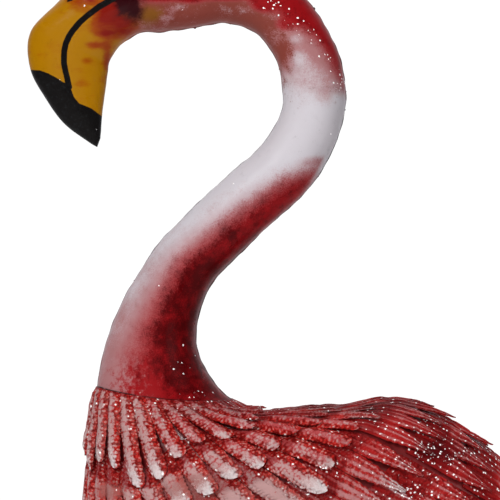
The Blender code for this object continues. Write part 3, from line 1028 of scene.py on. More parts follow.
def mesh_object(name: str, points: Array, faces: list[tuple[int, ...]]) -> Piece:
    """An object in the scene from points and faces.

    Args:
        name: The object's name.
        points: Its points, in metres.
        faces: Its faces, by index.

    Returns:
        The object, smooth shaded.
    """
    mesh = bpy.data.meshes.new(name)
    mesh.from_pydata(points.tolist(), [], faces)
    mesh.validate()
    mesh.shade_smooth()
    return placed(name, mesh)


def carry(mesh: Mesh, name: str, values: Array) -> None:
    """Stores one number for each point of a mesh under a name."""
    layer = mesh.attributes.get(name) or mesh.attributes.new(name, "FLOAT", "POINT")
    layer.data.foreach_set("value", np.ascontiguousarray(values, np.float32))


def read_numbers(mesh: Mesh, name: str) -> Array:
    """The number that a mesh carries under a name at each point.

    Args:
        mesh: The mesh.
        name: The name.

    Returns:
        The numbers.
    """
    values = np.empty(len(mesh.vertices), np.float32)
    mesh.attributes[name].data.foreach_get("value", values)
    return values.astype(float)


def grid_faces(rows: int, columns: int, closed: bool) -> list[tuple[int, ...]]:
    """The faces of a grid of points, row after row.

    Args:
        rows: Its rows.
        columns: The points in each row.
        closed: Whether each row joins up with its own start.

    Returns:
        The faces, four points each.
    """
    r, c = np.meshgrid(np.arange(rows - 1), np.arange(columns if closed else columns - 1), indexing="ij")
    here = (r * columns + c).ravel()
    beside = (r * columns + (c + 1) % columns).ravel()
    return [tuple(face) for face in np.stack([here, beside, beside + columns, here + columns], 1).tolist()]


def outward(made: Piece) -> None:
    """Turns the faces of a closed mesh outwards.

    Args:
        made: The object that holds it.
    """
    builder = bmesh.new()
    builder.from_mesh(made.data)
    bmesh.ops.recalc_face_normals(builder, faces=builder.faces)
    builder.to_mesh(made.data)
    builder.free()


def lofted(name: str, rings: Array, end_point: Array | None = None) -> Piece:
    """A closed tube through rings of points, with a fan over each end.

    Args:
        name: The object's name.
        rings: Rings of points, as rings by points by 3.
        end_point: The middle of the last end, or None for the ring's own.

    Returns:
        The object, with the two middle points last.
    """
    count, sides = rings.shape[:2]
    last = rings[-1].mean(axis=0) if end_point is None else end_point
    points = np.vstack([rings.reshape(-1, 3), rings[0].mean(axis=0), last])
    faces = grid_faces(count, sides, True)
    base = (count - 1) * sides
    for k in range(sides):
        faces.append((k, count * sides, (k + 1) % sides))
        faces.append((base + k, base + (k + 1) % sides, count * sides + 1))
    made = mesh_object(name, points, faces)
    outward(made)
    return made


def closed_sheet(name: str, rings: Array) -> Piece:
    """A closed sheet through rings of points, with a flat face over each end.

    Args:
        name: The object's name.
        rings: Rings of points, as rings by points by 3.

    Returns:
        The object.
    """
    rows, sides = rings.shape[:2]
    faces = grid_faces(rows, sides, True)
    faces.append(tuple(range(sides)))
    faces.append(tuple(range(rows * sides - 1, rows * sides - 1 - sides, -1)))
    made = mesh_object(name, rings.reshape(-1, 3), faces)
    outward(made)
    return made


def level_rings(x: float | Array, y: float, radii: Array, heights: Array, sides: int) -> Array:
    """Level circles of points, one above the other.

    Args:
        x: Where their middles lie, one for all or one for each.
        y: Where their middles lie.
        radii: The radius of each.
        heights: The height of each.
        sides: How many points each has.

    Returns:
        The points, as rings by points by 3.
    """
    turn = turns(sides)
    reach = radii[:, None]
    level = np.repeat(heights[:, None], sides, 1)
    return np.stack([np.reshape(x, (-1, 1)) + reach * np.cos(turn), y + reach * np.sin(turn), level], axis=2)


def settle(piece: Piece, material: Finish, nodes: tuple[str, ...]) -> None:
    """Gives a finished piece its paint and its place in the part.

    Args:
        piece: The finished piece.
        material: Its finish.
        nodes: The CAD nodes that it stands for, if any.
    """
    if not piece.data.materials:
        piece.data.materials.append(material)
    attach(piece, BODY)
    if nodes:
        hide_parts(*nodes)
    triangles = sum(len(face.vertices) - 2 for face in piece.data.polygons)
    LOG.info("%s: %d triangles, stands for %s", piece.name, triangles, ", ".join(nodes) or "nothing")


class NeckPoints:
    """The points of the neck's shell, before its relief."""

    def __init__(self, stations: Array, angles: Array) -> None:
        """Reads the skin.

        Args:
            stations: Each point's station.
            angles: Its angle from the back, in radians.
        """
        self.stations, self.angles = stations, angles
        self.points = NECK.points(stations, angles)
        self.pixels = view_pixels(self.points)
        self.across = np.cos(angles)
        self.side = np.abs(np.sin(angles))
        self.from_seam = self.side * NECK.read(stations)[:, 4]


@dataclass
class HeadAndNeck:
    """The welded shell of the head and neck, with its bill and eyes."""

    columns: int = 128
    neck_step: float = 2.3  # drawn millimetres between rings
    head_step: float = 1.2
    head_station: float = 17.5
    eye_station: float = 19.2
    eye_angle: float = math.radians(64)
    eye_radius: float = 6.5  # millimetres
    seam_height: float = 0.95  # of the weld, in millimetres
    seam_width: float = 1.5
    rim_roll: float = 2.2  # how far the lower rim turns in, in millimetres
    arch_station: float = 10.8  # where the spray of the neck's side gives way to the arch's
    last_station: float = 27.0
    tip: tuple[float, float] = (-160.5, 926.5)  # drawn x and z of the bill's end

    # Lines over the neck's stations: the sprayed edge as a cosine of the angle, then strengths of paint.
    spray_edge: Pairs = (
        (0, -0.60), (0.8, -0.60), (1.8, -0.53), (2.7, -0.47), (3.2, -0.42), (4.2, -0.38), (5.1, -0.34),
        (6, -0.33), (6.6, -0.27), (7.2, -0.17), (8, -0.06), (8.6, 0.06), (9, 0.2), (9.5, 0.6),
        (9.8, 1.0), (10.2, 1.5),
        (11.5, 1.5), (11.8, 1.05), (12.3, 0.72), (13, 0.50), (14, 0.24), (15, -0.02), (16, 0.0),
        (17, 0.1), (18, 0.0), (19, -0.1), (20, -0.2), (27, -0.2),
    )  # fmt: skip
    paleness: Pairs = (
        (0, 0.35), (1.5, 0.4), (3, 0.58), (4.5, 0.78), (6, 1.0), (8, 1.25), (9, 1.4), (11, 1.2),
        (12, 0.8), (13, 0.35), (15, 0.1),
    )  # fmt: skip
    rosiness: Pairs = (
        (10.8, -0.7), (11.4, -0.2), (12.2, 0.15), (13, 0.45), (14, 0.85), (15, 1.1), (16, 1.15),
        (17, 1.1), (18, 0.95), (20, 1.1),
    )  # fmt: skip

    # Lines, outlines and spots of paint on the side view, in pixels; the glitter spots also place painted
    # sparkle.
    mouth_line: Pairs = (
        (124, -9), (116, 0), (100, 9), (89, 17), (80, 25), (74, 32), (70, 38), (67, 45), (65.4, 52),
        (65, 64), (66.5, 72), (68, 78), (70, 88),
    )  # fmt: skip
    black_tip: Pairs = (
        (22, 69), (34, 70.5), (40, 70.8), (50, 74.5), (58, 79), (64, 83), (70, 85), (72.5, 91), (75, 98),
        (80, 104), (92, 109), (103, 117), (114, 122), (114, 165), (22, 165),
    )  # fmt: skip
    bill_edge: Pairs = (
        (100, -60), (112, -20), (120, 0), (131, 14), (139, 26), (144, 36), (150, 60), (150, 200),
        (-40, 200), (-40, -60),
    )  # fmt: skip
    nostril: Pairs = ((67, 3.5), (73, 2), (79, -4), (86, -15), (84, -18), (77, -12), (70, -4))
    flush_spots: Spots = (
        (113, 12, 14, 11, 2.1), (126, 29, 18, 12, 1.5), (106, 35, 10, 4, 1.0), (95, 46, 9, 4, 1.2),
        (89, 62, 8, 4, 0.8), (108, 58, 5, 17, 1.0), (80, 4, 14, 10, 0.7), (92, 0, 6, 5, 1.2),
        (101, 25, 11, 10, 0.8), (60, 66, 10, 5, 0.3), (84, 84, 8, 8, 0.25), (58, 30, 12, 10, -0.15),
    )  # fmt: skip
    maroon_spots: Spots = ((129, 6, 14, 15, 1.2), (139, 17, 7, 9, 0.5), (118, 0, 7, 6, 0.5))
    olive_spots: Spots = ((148, 18, 12, 11, 0.9), (160, 14, 10, 7, 0.4))
    red_spots: Spots = (
        (163, -2, 26, 6, 1.2), (193, 1, 14, 6, 1.0), (222, -1, 16, 6, 1.0), (262, 8, 14, 8, 1.2),
        (281, 28, 12, 8, 1.05), (290, 49, 9, 6, 0.7), (247, -3, 30, 5, 0.8), (203, 14, 20, 3, 0.5),
        (294, 14, 14, 13, 0.7), (165, 24, 16, 4, 0.3), (312, 160, 14, 6, 0.4), (284, 44, 6, 14, 0.2),
    )  # fmt: skip
    pale_spots: Spots = (
        (181, 9, 10, 4, 0.6), (228, 10, 13, 5, 0.45), (245, 13, 9, 4, 0.4), (270, 18, 7, 4, 0.35),
        (296, 40, 10, 6, 0.4), (300, 60, 10, 8, 0.25), (200, 6, 8, 3, 0.3), (325, 96, 12, 12, -0.35),
        (312, 84, 14, 8, -0.2), (282, 55, 7, 12, -0.55), (165, 20, 12, 4, 0.3), (300, 108, 14, 10, -0.25),
    )  # fmt: skip
    glitter_spots: Spots = ((181, 366, 17, 9, 0.62), (200, 393, 30, 4, 0.6), (150, 392, 20, 4, 0.4))

    def stations(self) -> Array:
        """The stations of the rings, closer together over the head and bill.

        Returns:
            The stations in order.
        """
        fine = np.linspace(0.0, self.last_station, 4000)
        x, z = NECK.read(fine).T[:2]
        length = np.concatenate([[0.0], np.cumsum(np.hypot(np.diff(x), np.diff(z)))])
        head = float(np.interp(self.head_station, fine, length))
        lower = np.arange(0.0, head, self.neck_step)
        upper = np.arange(head, length[-1], self.head_step)
        return np.interp(np.concatenate([lower, upper, length[-1:]]), length, fine)

    def angles(self) -> Array:
        """The angles of the columns, closer together at the two seams."""
        turn = turns(self.columns)
        return turn - 0.22 * np.sin(2 * turn)

    def relief(self, at: NeckPoints) -> Array:
        """How far the surface stands above the drawn skin: weld, dents, mouth, nostrils and eyes.

        Args:
            at: The shell's points.

        Returns:
            One height for each point, in millimetres.
        """
        stations, points = at.stations, at.points
        near_seam = np.exp(-((at.from_seam / 1.3) ** 2)) * smooth(stations, 22.0, 20.0)
        height = self.seam_height * near_seam * (0.75 + 0.35 * wavy(points, 0.011, 3))
        height += 0.28 * wavy(points, 0.034, 5) * smooth(stations, 24.0, 20.0)
        height += 0.05 * wavy(points, 0.008, 6)
        height -= self.rim_roll * (1.0 - smooth(stations, 0.0, 0.16)) ** 2
        flank = smooth(at.side, 0.15, 0.5)
        mouth = distance_to_line(at.pixels, self.mouth_line) * PIXEL
        height -= 0.9 * np.exp(-((mouth / 1.9) ** 2)) * flank
        height -= 0.8 * smooth(distance_inside(at.pixels, self.nostril), -0.5, 2.0) * flank
        eye = self.eye_distance(points)
        height += 2.2 * np.sqrt(np.clip(1.0 - (eye / self.eye_radius) ** 2, 0.0, 1.0))
        groove, lid = ((eye - 7.2) / 0.8) ** 2, ((eye - 9.0) / 1.1) ** 2
        return height - 0.5 * np.exp(-groove) + 0.5 * np.exp(-lid)

    def eye_distance(self, points: Array) -> Array:
        """How far points are from the nearer eye.

        Args:
            points: The points, in metres.

        Returns:
            The distances, in millimetres.
        """
        nearest = np.full(len(points), np.inf)
        for sign in (-1, 1):
            centre = NECK.points(np.array([self.eye_station]), np.array([sign * self.eye_angle]))
            nearest = np.minimum(nearest, np.linalg.norm(points - centre, axis=1) / MM)
        return nearest

    def sprayed(self, at: NeckPoints) -> Array:
        """How far inside the sprayed red each point lies, less along the back seam, where the paler rim is a
        painted reflection.

        Args:
            at: The shell's points.

        Returns:
            One number for each point, from below 0 to above 1.
        """
        stations, across = at.stations, at.across
        lower = stations < self.arch_station
        softness = np.where(lower, 0.42 - 0.12 * smooth(stations, 3.0, 1.0), 0.26)
        spray = 0.5 + (across - read_line(self.spray_edge, stations)) / (2 * softness)
        # Painted reflection: a paler rim along the back seam, where the neck turns away to its outline.
        painted_rim_reflection = smooth(across, 0.82, 0.99) * smooth(stations, 0.4, 2.0) * lower
        painted_rim_reflection += smooth(across, 0.93, 1.0) * (stations > 12.0) * (stations < 16.0)
        return np.clip(spray, -1.2, 1.4) - 0.6 * painted_rim_reflection

    def glitter(self, at: NeckPoints) -> Array:
        """Where flakes lie thick: along the upper red edge and near the neck's foot.

        Args:
            at: The shell's points.

        Returns:
            One number for each point.
        """
        from_edge = (at.across - read_line(self.spray_edge, at.stations)) / 0.22
        by_edge = 1.2 * np.exp(-(from_edge**2)) * (at.stations > 11.5) * (at.stations < 16)
        return by_edge + spotted(at.pixels, self.glitter_spots) + 0.1

    def paint_numbers(self, at: NeckPoints) -> dict[str, Array]:
        """What the paint reads.

        Args:
            at: The shell's points.

        Returns:
            One number for each point, by name.
        """
        stations, across, pixels = at.stations, at.across, at.pixels
        pale_spots = spotted(pixels, self.pale_spots)
        under_arch = smooth(across, -0.8, 0.1) * (stations > 12) * (stations < 14.5)
        deep = 0.2 + 0.75 * smooth(across, -0.35, 0.4) * smooth(stations, 9.5, 5.5)
        seam = np.exp(-((at.from_seam / self.seam_width) ** 2)) * (stations < 20.5)
        # Painted shade at the neck's foot, where the collar's feathers cover it, carried with the seam's
        # number.
        painted_foot_shade = smooth(stations, COLLAR_RIM + 0.13, COLLAR_RIM + 0.05)
        return {
            "spray": self.sprayed(at) + spotted(pixels, self.red_spots),
            "pale": read_line(self.paleness, stations) + pale_spots,
            "rose": read_line(self.rosiness, stations) - pale_spots - 0.55 * under_arch,
            "deep": deep - 0.4 * smooth(stations, 2.4, 0.6),
            "foot": smooth(stations, 3.2, 1.2),
            "maroon": spotted(pixels, self.maroon_spots),
            "olive": spotted(pixels, self.olive_spots),
            "flush": spotted(pixels, self.flush_spots),
            "bill": distance_inside(pixels, self.bill_edge) * PIXEL,
            "black": distance_inside(pixels, self.black_tip) * PIXEL,
            "mouth": distance_to_line(pixels, self.mouth_line) * PIXEL,
            "nostril": distance_inside(pixels, self.nostril) * PIXEL,
            "eye": self.eye_distance(at.points),
            "seam": seam * (0.8 + 0.2 * across) + painted_foot_shade,
            "glitter": self.glitter(at),
        }

    def build(self) -> Piece:
        """The shell as one closed mesh that carries its paint numbers.

        Returns:
            The shell.
        """
        rings = self.stations()
        at = NeckPoints(np.repeat(rings, self.columns), np.tile(self.angles(), len(rings)))
        outwards = NECK.normals(at.stations, at.angles)
        shaped = at.points + outwards * (self.relief(at) * MM)[:, None]
        tip = np.array([(self.tip[0] - BIRD_FORWARD) * MM, 0.0, self.tip[1] * MM + PLATE_TOP])
        made = lofted("head_and_neck_shell", shaped.reshape(len(rings), self.columns, 3), tip)
        ends = np.array([0, len(shaped) - 1])
        for name, values in self.paint_numbers(at).items():
            carry(made.data, name, np.concatenate([values, values[ends]]))
        return made


class Style(Enum):
    """How a row's feathers are cut and pressed."""

    BEADED = "rounded fingers with a beaded edge"
    STRIPED = "flat and pointed, with three ridges"
    QUILLED = "long and pointed, with a quill"


@dataclass(frozen=True)
class Pressing:
    """The relief of one style of feather, in metres, and the shares of its cut."""

    crown: float
    lift: float
    beads: float
    ridges: float
    quill: float
    tip_start: float
    tip_width: float


PRESSINGS = {
    Style.BEADED: Pressing(3.8 * MM, 8.1 * MM, 1.0, 0.0, 0.0, 0.88, 0.425),
    Style.STRIPED: Pressing(1.3 * MM, 5.2 * MM, 0.25, 1.0, 0.4 * MM, 0.66, 0.20),
    Style.QUILLED: Pressing(1.8 * MM, 6.4 * MM, 0.55, 0.75, 0.7 * MM, 0.72, 0.24),
}


@dataclass
class FeatherBlank:
    """One flat feather, a unit long and a unit wide, as it is cut before the strip is bent."""

    tip_start: float
    tip_width: float
    across: int = 13
    along: int = 61
    slit: float = 0.60
    notches: int = 15
    sheet: float = 0.9 * MM

    def half_width(self, share: Array) -> Array:
        """Half the feather's width, with its notched edge.

        Args:
            share: Places from its root, at 0, to its tip, at 1.

        Returns:
            The half widths, as shares of the strip's pitch.
        """
        taper = 0.505 - (0.505 - self.tip_width) * smooth(share, self.slit - 0.05, 1.0)
        cut = 0.022 * smooth(share, self.slit - 0.02, self.slit + 0.06)
        rounding = np.clip((share - self.tip_start) / (1.0 - self.tip_start), 0.0, 1.0)
        notch = 0.055 * np.abs(((share * self.notches) % 1.0) - 0.5) * 2 * smooth(share, 0.5, 0.62)
        return (taper - cut - notch) * np.sqrt(np.clip(1.0 - 0.93 * rounding**2.4, 0.0, 1.0))

    def build(self) -> Piece:
        """The blank as a closed mesh; its relief is carried as numbers and pressed in later.

        Returns:
            The blank, hidden.
        """
        share = np.linspace(0.0, 1.0, self.along) ** 0.9
        u = np.linspace(-1.0, 1.0, self.across)
        rows, columns = np.meshgrid(share, u, indexing="ij")
        width = self.half_width(share)[:, None]
        top = np.stack([columns * width, rows, np.full(rows.shape, self.sheet)], axis=2)
        under = np.array([-1.0, 0.0, 1.0])
        low = np.stack(
            [under[None, :] * width, np.repeat(share[:, None], 3, 1), np.zeros((self.along, 3))], axis=2
        )
        ring = np.concatenate([top, low[:, ::-1]], axis=1)
        side = np.abs(np.concatenate([columns, np.repeat(under[None, ::-1], self.along, 0)], axis=1))
        reach = np.concatenate([rows, rows[:, :3]], axis=1)
        made = closed_sheet("feather_blank", ring)
        side, reach = side.ravel(), reach.ravel()
        crown = np.cos(0.5 * math.pi * side) ** 1.15 * np.minimum(1.0, 2.2 * reach)
        carry(made.data, "crown", crown * (1.0 - 0.85 * smooth(reach, 0.88, 1.0)))
        carry(made.data, "side", side)
        carry(made.data, "along", reach)
        made.hide_render = True
        made.hide_viewport = True
        return made


def geometry_tree(name: str, kinds: dict[str, str]) -> tuple[Wiring, Node]:
    """A Geometry Nodes tree with named inputs.

    Args:
        name: The tree's name.
        kinds: The kind of each input beside the geometry, by name.

    Returns:
        The tree's wiring, and the node of its inputs.
    """
    tree = bpy.data.node_groups.new(name, "GeometryNodeTree")
    for label, kind in {"Geometry": "Geometry", **kinds}.items():
        tree.interface.new_socket(label, in_out="INPUT", socket_type=f"NodeSocket{kind}")
    tree.interface.new_socket("Geometry", in_out="OUTPUT", socket_type="NodeSocketGeometry")
    wire = Wiring(tree)
    return wire, wire.node("NodeGroupInput")


def make_real(wire: Wiring, laid: Node, finish: Socket) -> None:
    """Ends a tree: its instances become a plain painted mesh.

    Args:
        wire: The tree so far.
        laid: The node that lays the instances.
        finish: The input that holds the paint.
    """
    real = wire.node("GeometryNodeRealizeInstances", Geometry=laid.outputs[0])
    painted = wire.node("GeometryNodeSetMaterial", Geometry=real.outputs[0], Material=finish)
    wire.node("NodeGroupOutput", Geometry=painted.outputs[0])


class StripCutter:
    """The Geometry Nodes tree that lays copies of a blank side by side in a flat strip."""

    width_jitter = 0.06

    def __init__(self) -> None:
        """Makes the tree, and a blank for each style."""
        self.blanks = {
            style: FeatherBlank(pressing.tip_start, pressing.tip_width).build()
            for style, pressing in PRESSINGS.items()
        }
        self.tree = self.make_tree()

    def make_tree(self) -> bpy.types.NodeTree:
        """Builds the tree, with its sizes as named inputs.

        Returns:
            The tree.
        """
        kinds = {"Blank": "Object", "Width": "Float", "Width jitter": "Float", "Seed": "Int"}
        wire, given = geometry_tree("cut_feather_strip", {**kinds, "Finish": "Material"})
        feathers = wire.node("GeometryNodeObjectInfo", Object=given.outputs["Blank"])
        least = wire.math("SUBTRACT", given.outputs["Width"], given.outputs["Width jitter"])
        chance = wire.node("FunctionNodeRandomValue", {"data_type": "FLOAT"}, Seed=given.outputs["Seed"])
        wire.put(chance.inputs[2], least)
        wire.put(chance.inputs[3], given.outputs["Width"])
        length = wire.node("GeometryNodeInputNamedAttribute", {"data_type": "FLOAT"}, Name="length")
        size = wire.node("ShaderNodeCombineXYZ", X=chance.outputs[1], Y=length.outputs[0], Z=1.0)
        spots = wire.node("GeometryNodeMeshToPoints", Mesh=given.outputs["Geometry"])
        laid = wire.node(
            "GeometryNodeInstanceOnPoints",
            Points=spots.outputs[0],
            Instance=feathers.outputs["Geometry"],
            Scale=size.outputs[0],
        )
        make_real(wire, laid, given.outputs["Finish"])
        return wire.tree

    def cut(
        self, name: str, style: Style, lengths: Array, tones: Array, seed: int, finish: Finish
    ) -> Piece:
        """A flat strip of feathers as a plain mesh.

        Args:
            name: The strip's name.
            style: How its feathers are cut.
            lengths: The length of each feather, as a share of the longest.
            tones: How pale each feather is beside its neighbours.
            seed: Fixes the feathers' widths.
            finish: The paint.

        Returns:
            The strip: x counts feathers, y runs from root to tip, z is the sheet's height.
        """
        count = len(lengths)
        spots = bpy.data.meshes.new(name)
        spots.from_pydata([(k, 0.0, 0.0) for k in range(count)], [], [])
        strip = placed(name, spots)
        carry(spots, "length", lengths)
        carry(spots, "tone", tones)
        carry(spots, "number", np.arange(count))
        values = {"Blank": self.blanks[style], "Width": 1.0, "Width jitter": self.width_jitter}
        return bake_nodes(strip, self.tree, {**values, "Seed": seed, "Finish": finish})

    def clear(self) -> None:
        """Removes the blanks."""
        for blank in self.blanks.values():
            bpy.data.objects.remove(blank)


def bake_modifier(made: Piece, modifier: bpy.types.Modifier) -> None:
    """Makes a modifier's result the object's own mesh.

    Args:
        made: The object.
        modifier: Its modifier, which is removed.
    """
    graph = bpy.context.evaluated_depsgraph_get()
    graph.update()
    result = bpy.data.meshes.new_from_object(made.evaluated_get(graph))
    made.modifiers.remove(modifier)
    made.data = result


def bake_nodes(made: Piece, tree: bpy.types.NodeTree, values: dict[str, object]) -> Piece:
    """Runs a Geometry Nodes tree on an object and leaves its result as a plain mesh.

    Args:
        made: The object, whose own mesh the tree starts from.
        tree: The tree.
        values: The tree's inputs by name.

    Returns:
        The same object.
    """
    modifier = made.modifiers.new(tree.name, "NODES")
    modifier.node_group = tree
    for item in tree.interface.items_tree:
        if item.item_type == "SOCKET" and item.in_out == "INPUT" and item.name in values:
            modifier[item.identifier] = values[item.name]
    bake_modifier(made, modifier)
    return made


@dataclass(frozen=True)
class LevelRoot:
    """A row that starts at one station all round."""

    station: float

    def read(self, degrees: Array) -> Array:
        """The row's first station at some angles."""
        return np.full(np.shape(degrees), self.station)


@dataclass(frozen=True)
class TuckedRoot:
    """A row that starts under the row before it, which covers only a share of it."""

    root_before: "LevelRoot | TuckedRoot"
    tips_before: Pairs
    tips: Pairs
    covered_share: float = 0.42

    def read(self, degrees: Array) -> Array:
        """The row's first station at some angles.

        Args:
            degrees: Angles from the back's middle.

        Returns:
            One station for each.
        """
        end = read_round(self.tips_before, degrees)
        covered = self.covered_share / (1 - self.covered_share) * (read_round(self.tips, degrees) - end)
        return end - np.minimum(covered, 0.5 * (end - self.root_before.read(degrees)))


class CutPoints:
    """The points of a flat strip: where each lies on its feather and in its row."""

    def __init__(self, mesh: Mesh, row: "FeatherRow") -> None:
        """Reads the numbers that the strip carries.

        Args:
            mesh: The flat strip.
            row: The row that it is cut for.
        """
        flat = np.empty(len(mesh.vertices) * 3, np.float32)
        mesh.vertices.foreach_get("co", flat)
        x, self.along, self.sheet = flat.reshape(-1, 3).astype(float).T
        self.number = read_numbers(mesh, "number")
        self.share = read_numbers(mesh, "along")
        self.side = read_numbers(mesh, "side")
        self.crown = read_numbers(mesh, "crown")
        self.turn = row.turn(self.number)
        beaded = row.style is Style.BEADED
        self.rounded = smooth(self.turn, *row.flat_turns) if beaded else np.ones(len(x))
        self.ridges = np.maximum(PRESSINGS[row.style].ridges, 1.0 - self.rounded)
        narrowed = 1.0 - 0.8 * (1.0 - self.rounded) * smooth(self.share, 0.5, 1.0)
        self.aside = (x - self.number) * narrowed


@dataclass
class FeatherRow:
    """One strip of cut feathers, bent round the body."""

    node: str
    count: int
    span: tuple[float, float]  # degrees from the back's middle
    root: LevelRoot | TuckedRoot
    tips: Pairs
    seed: int
    style: Style
    slot: str = "feather_paint"
    extra_lift: float = 0.0

    root_height: float = 0.8 * MM
    spike: float = 4.0 * MM
    lean: float = 1.6 * MM
    curl: float = 0.9 * MM
    wobble: float = 0.35 * MM
    # how far each feather's pale crest sits off its middle
    crest_shift: float = 0.26
    length_spread: float = 0.15
    back_spread: float = 0.15
    flat_turns: tuple[float, float] = (18.0, 62.0)  # degrees over which rounded feathers flatten to the back

    # Spots of paint on the side view, in pixels; the shade spots are painted shade, and the glitter spots
    # also place painted sparkle.
    pale_spots: Spots = (
        (105, 430, 55, 45, 0.55), (190, 488, 100, 34, 0.42), (275, 484, 80, 26, 0.42),
        (350, 496, 45, 20, 0.5), (440, 445, 60, 50, -0.25), (285, 482, 60, 18, 0.3),
        (345, 438, 60, 22, -0.2), (405, 488, 30, 14, 0.4), (240, 415, 60, 14, -0.2),
    )  # fmt: skip
    shade_spots: Spots = (
        (320, 403, 150, 14, 0.8), (455, 450, 50, 50, 0.42), (432, 448, 22, 12, 0.5), (95, 440, 12, 50, 0.3),
        (340, 440, 50, 25, -0.3), (410, 480, 40, 20, -0.3),
    )  # fmt: skip
    glitter_spots: Spots = (
        (418, 448, 46, 26, 0.36), (450, 465, 50, 30, 0.30), (402, 489, 28, 12, 0.8), (220, 482, 60, 20, 0.3),
        (150, 402, 90, 10, 0.5), (330, 405, 50, 12, -0.25),
    )  # fmt: skip
    dust_spots: Spots = ((197, 482, 34, 17, 1.1), (112, 488, 20, 11, 1.0), (292, 492, 22, 10, 0.7))

    def turn(self, number: Array) -> Array:
        """How far each feather stands from the back's middle, in degrees."""
        start, end = self.span
        return from_back(start + (number + 0.5) * (end - start) / self.count)

    def build(self, cutter: StripCutter, finish: Finish) -> Piece:
        """Cuts the strip flat, bends it round the body and presses in the relief.

        Args:
            cutter: Cuts the flat strip.
            finish: The paint.

        Returns:
            The finished strip.
        """
        chance = random.Random(self.seed)
        turn = self.turn(np.arange(self.count))
        spread = self.length_spread + self.back_spread * (1.0 - smooth(turn, 25.0, 60.0))
        lengths = 1.0 - spread * np.array([chance.random() for _ in range(self.count)])
        tones = np.random.default_rng(self.seed).uniform(-1.0, 1.0, self.count)
        strip = cutter.cut(f"{self.node}_cut", self.style, lengths, tones, self.seed, finish)
        self.bend(strip.data)
        return strip

    def bend(self, mesh: Mesh) -> None:
        """Bends a flat strip round the body.

        Args:
            mesh: The strip, as it was cut.
        """
        cut = CutPoints(mesh, self)
        start, end = self.span
        degrees = start + (cut.number + cut.aside + 0.5) * (end - start) / self.count
        angles = np.radians(degrees)
        first = self.root.read(degrees)
        stations = first + (read_round(self.tips, degrees) - first) * cut.along
        skin, outwards = laid_skin(stations, angles)
        waves = wavy(skin, 0.013, self.seed) * smooth(cut.share, 0.02, 0.2) * (cut.sheet > 0)
        points = skin + outwards * (self.relief(cut) + self.wobble * waves)[:, None]
        mesh.vertices.foreach_set("co", points.ravel().astype(np.float32))
        mesh.flip_normals()
        mesh.shade_smooth()
        mesh.set_sharp_from_angle(angle=math.radians(60))

        run = np.linalg.norm(skin - laid_skin(first, angles)[0], axis=1) / MM
        carry(mesh, "run", run + cut.number * 1.31)
        # The pale crest sits off each feather's middle, to one side along each flank.
        forward = np.sign(cut.aside) * np.sin(angles)
        shifted = np.abs(cut.side * np.sign(forward) - self.crest_shift * np.abs(np.sin(angles)))
        carry(mesh, "crest", 1.0 - np.where(forward == 0.0, cut.side, shifted))
        self.carry_paint(mesh, cut, view_pixels(points))
        mesh.update()

    def relief(self, cut: CutPoints) -> Array:
        """How far each point stands off the skin: lift, pressed crown and quill, lean, curl and spikes.

        Args:
            cut: The flat strip's points.

        Returns:
            The heights, in metres.
        """
        pressing = PRESSINGS[self.style]
        share, along, rounded = cut.share, cut.along, cut.rounded
        ridge = 0.5 + 0.5 * np.cos(2 * math.pi * cut.side)
        crown = cut.crown * (1.0 - 0.5 * cut.ridges * (1.0 - ridge))
        height = self.root_height + (pressing.lift + self.extra_lift * along) * along + cut.sheet
        height -= 0.5 * (1.0 - rounded) * pressing.lift * along
        height += pressing.crown * crown * (0.4 + 0.6 * rounded)
        height += pressing.quill * np.exp(-((cut.side / 0.1) ** 2)) * smooth(share, 0.97, 0.8)
        lean = np.sin(cut.number * 12.9898 + self.seed) * cut.aside
        curl = np.cos(cut.number * 78.233 + self.seed)
        bent = self.lean * lean * share**2 + self.curl * curl * share**4
        height += bent * (0.4 + 0.6 * pressing.beads)
        if self.style is Style.STRIPED:
            height += self.spike * (0.6 + 0.4 * curl) * (1.0 - smooth(cut.turn, 8.0, 38.0)) * share**7
        return height

    def carry_paint(self, mesh: Mesh, cut: CutPoints, pixels: Array) -> None:
        """Stores what the paint reads over the strip.

        Args:
            mesh: The bent strip.
            cut: Its points as they were cut.
            pixels: Where each point shows in the side view.
        """
        pressing = PRESSINGS[self.style]
        collar = self.node == "collar_feathers"
        # Painted shade: darker where the row before covers this one, and at the collar's roots where they
        # meet the neck.
        tucked = smooth(cut.share, 0.12, 0.0) if collar else smooth(cut.share, 0.53, 0.40)
        carry(mesh, "shade", 1.0 - 0.62 * tucked)
        carry(mesh, "paleness", 0.22 + spotted(pixels, self.pale_spots) * smooth(cut.turn, 15.0, 60.0))
        # Painted shade from the shade spots, over a little deeper red.
        carry(mesh, "depth", 0.12 + spotted(pixels, self.shade_spots))
        carry(mesh, "glitter", 0.1 + spotted(pixels, self.glitter_spots))
        carry(mesh, "dust", spotted(pixels, self.dust_spots) * smooth(cut.share, 0.97, 0.85) * (not collar))
        carry(mesh, "beads", pressing.beads * smooth(cut.turn, 18.0, 55.0))
        carry(mesh, "ridges", cut.ridges)
        pitch = 1.0 if self.style is Style.BEADED else 1.5
        carry(mesh, "lateral", cut.side * np.sign(cut.aside) * pitch)
        quill = np.exp(-((cut.side / 0.12) ** 2)) * smooth(cut.share, 0.97, 0.8)
        carry(mesh, "quill", quill * (pressing.quill > 0))


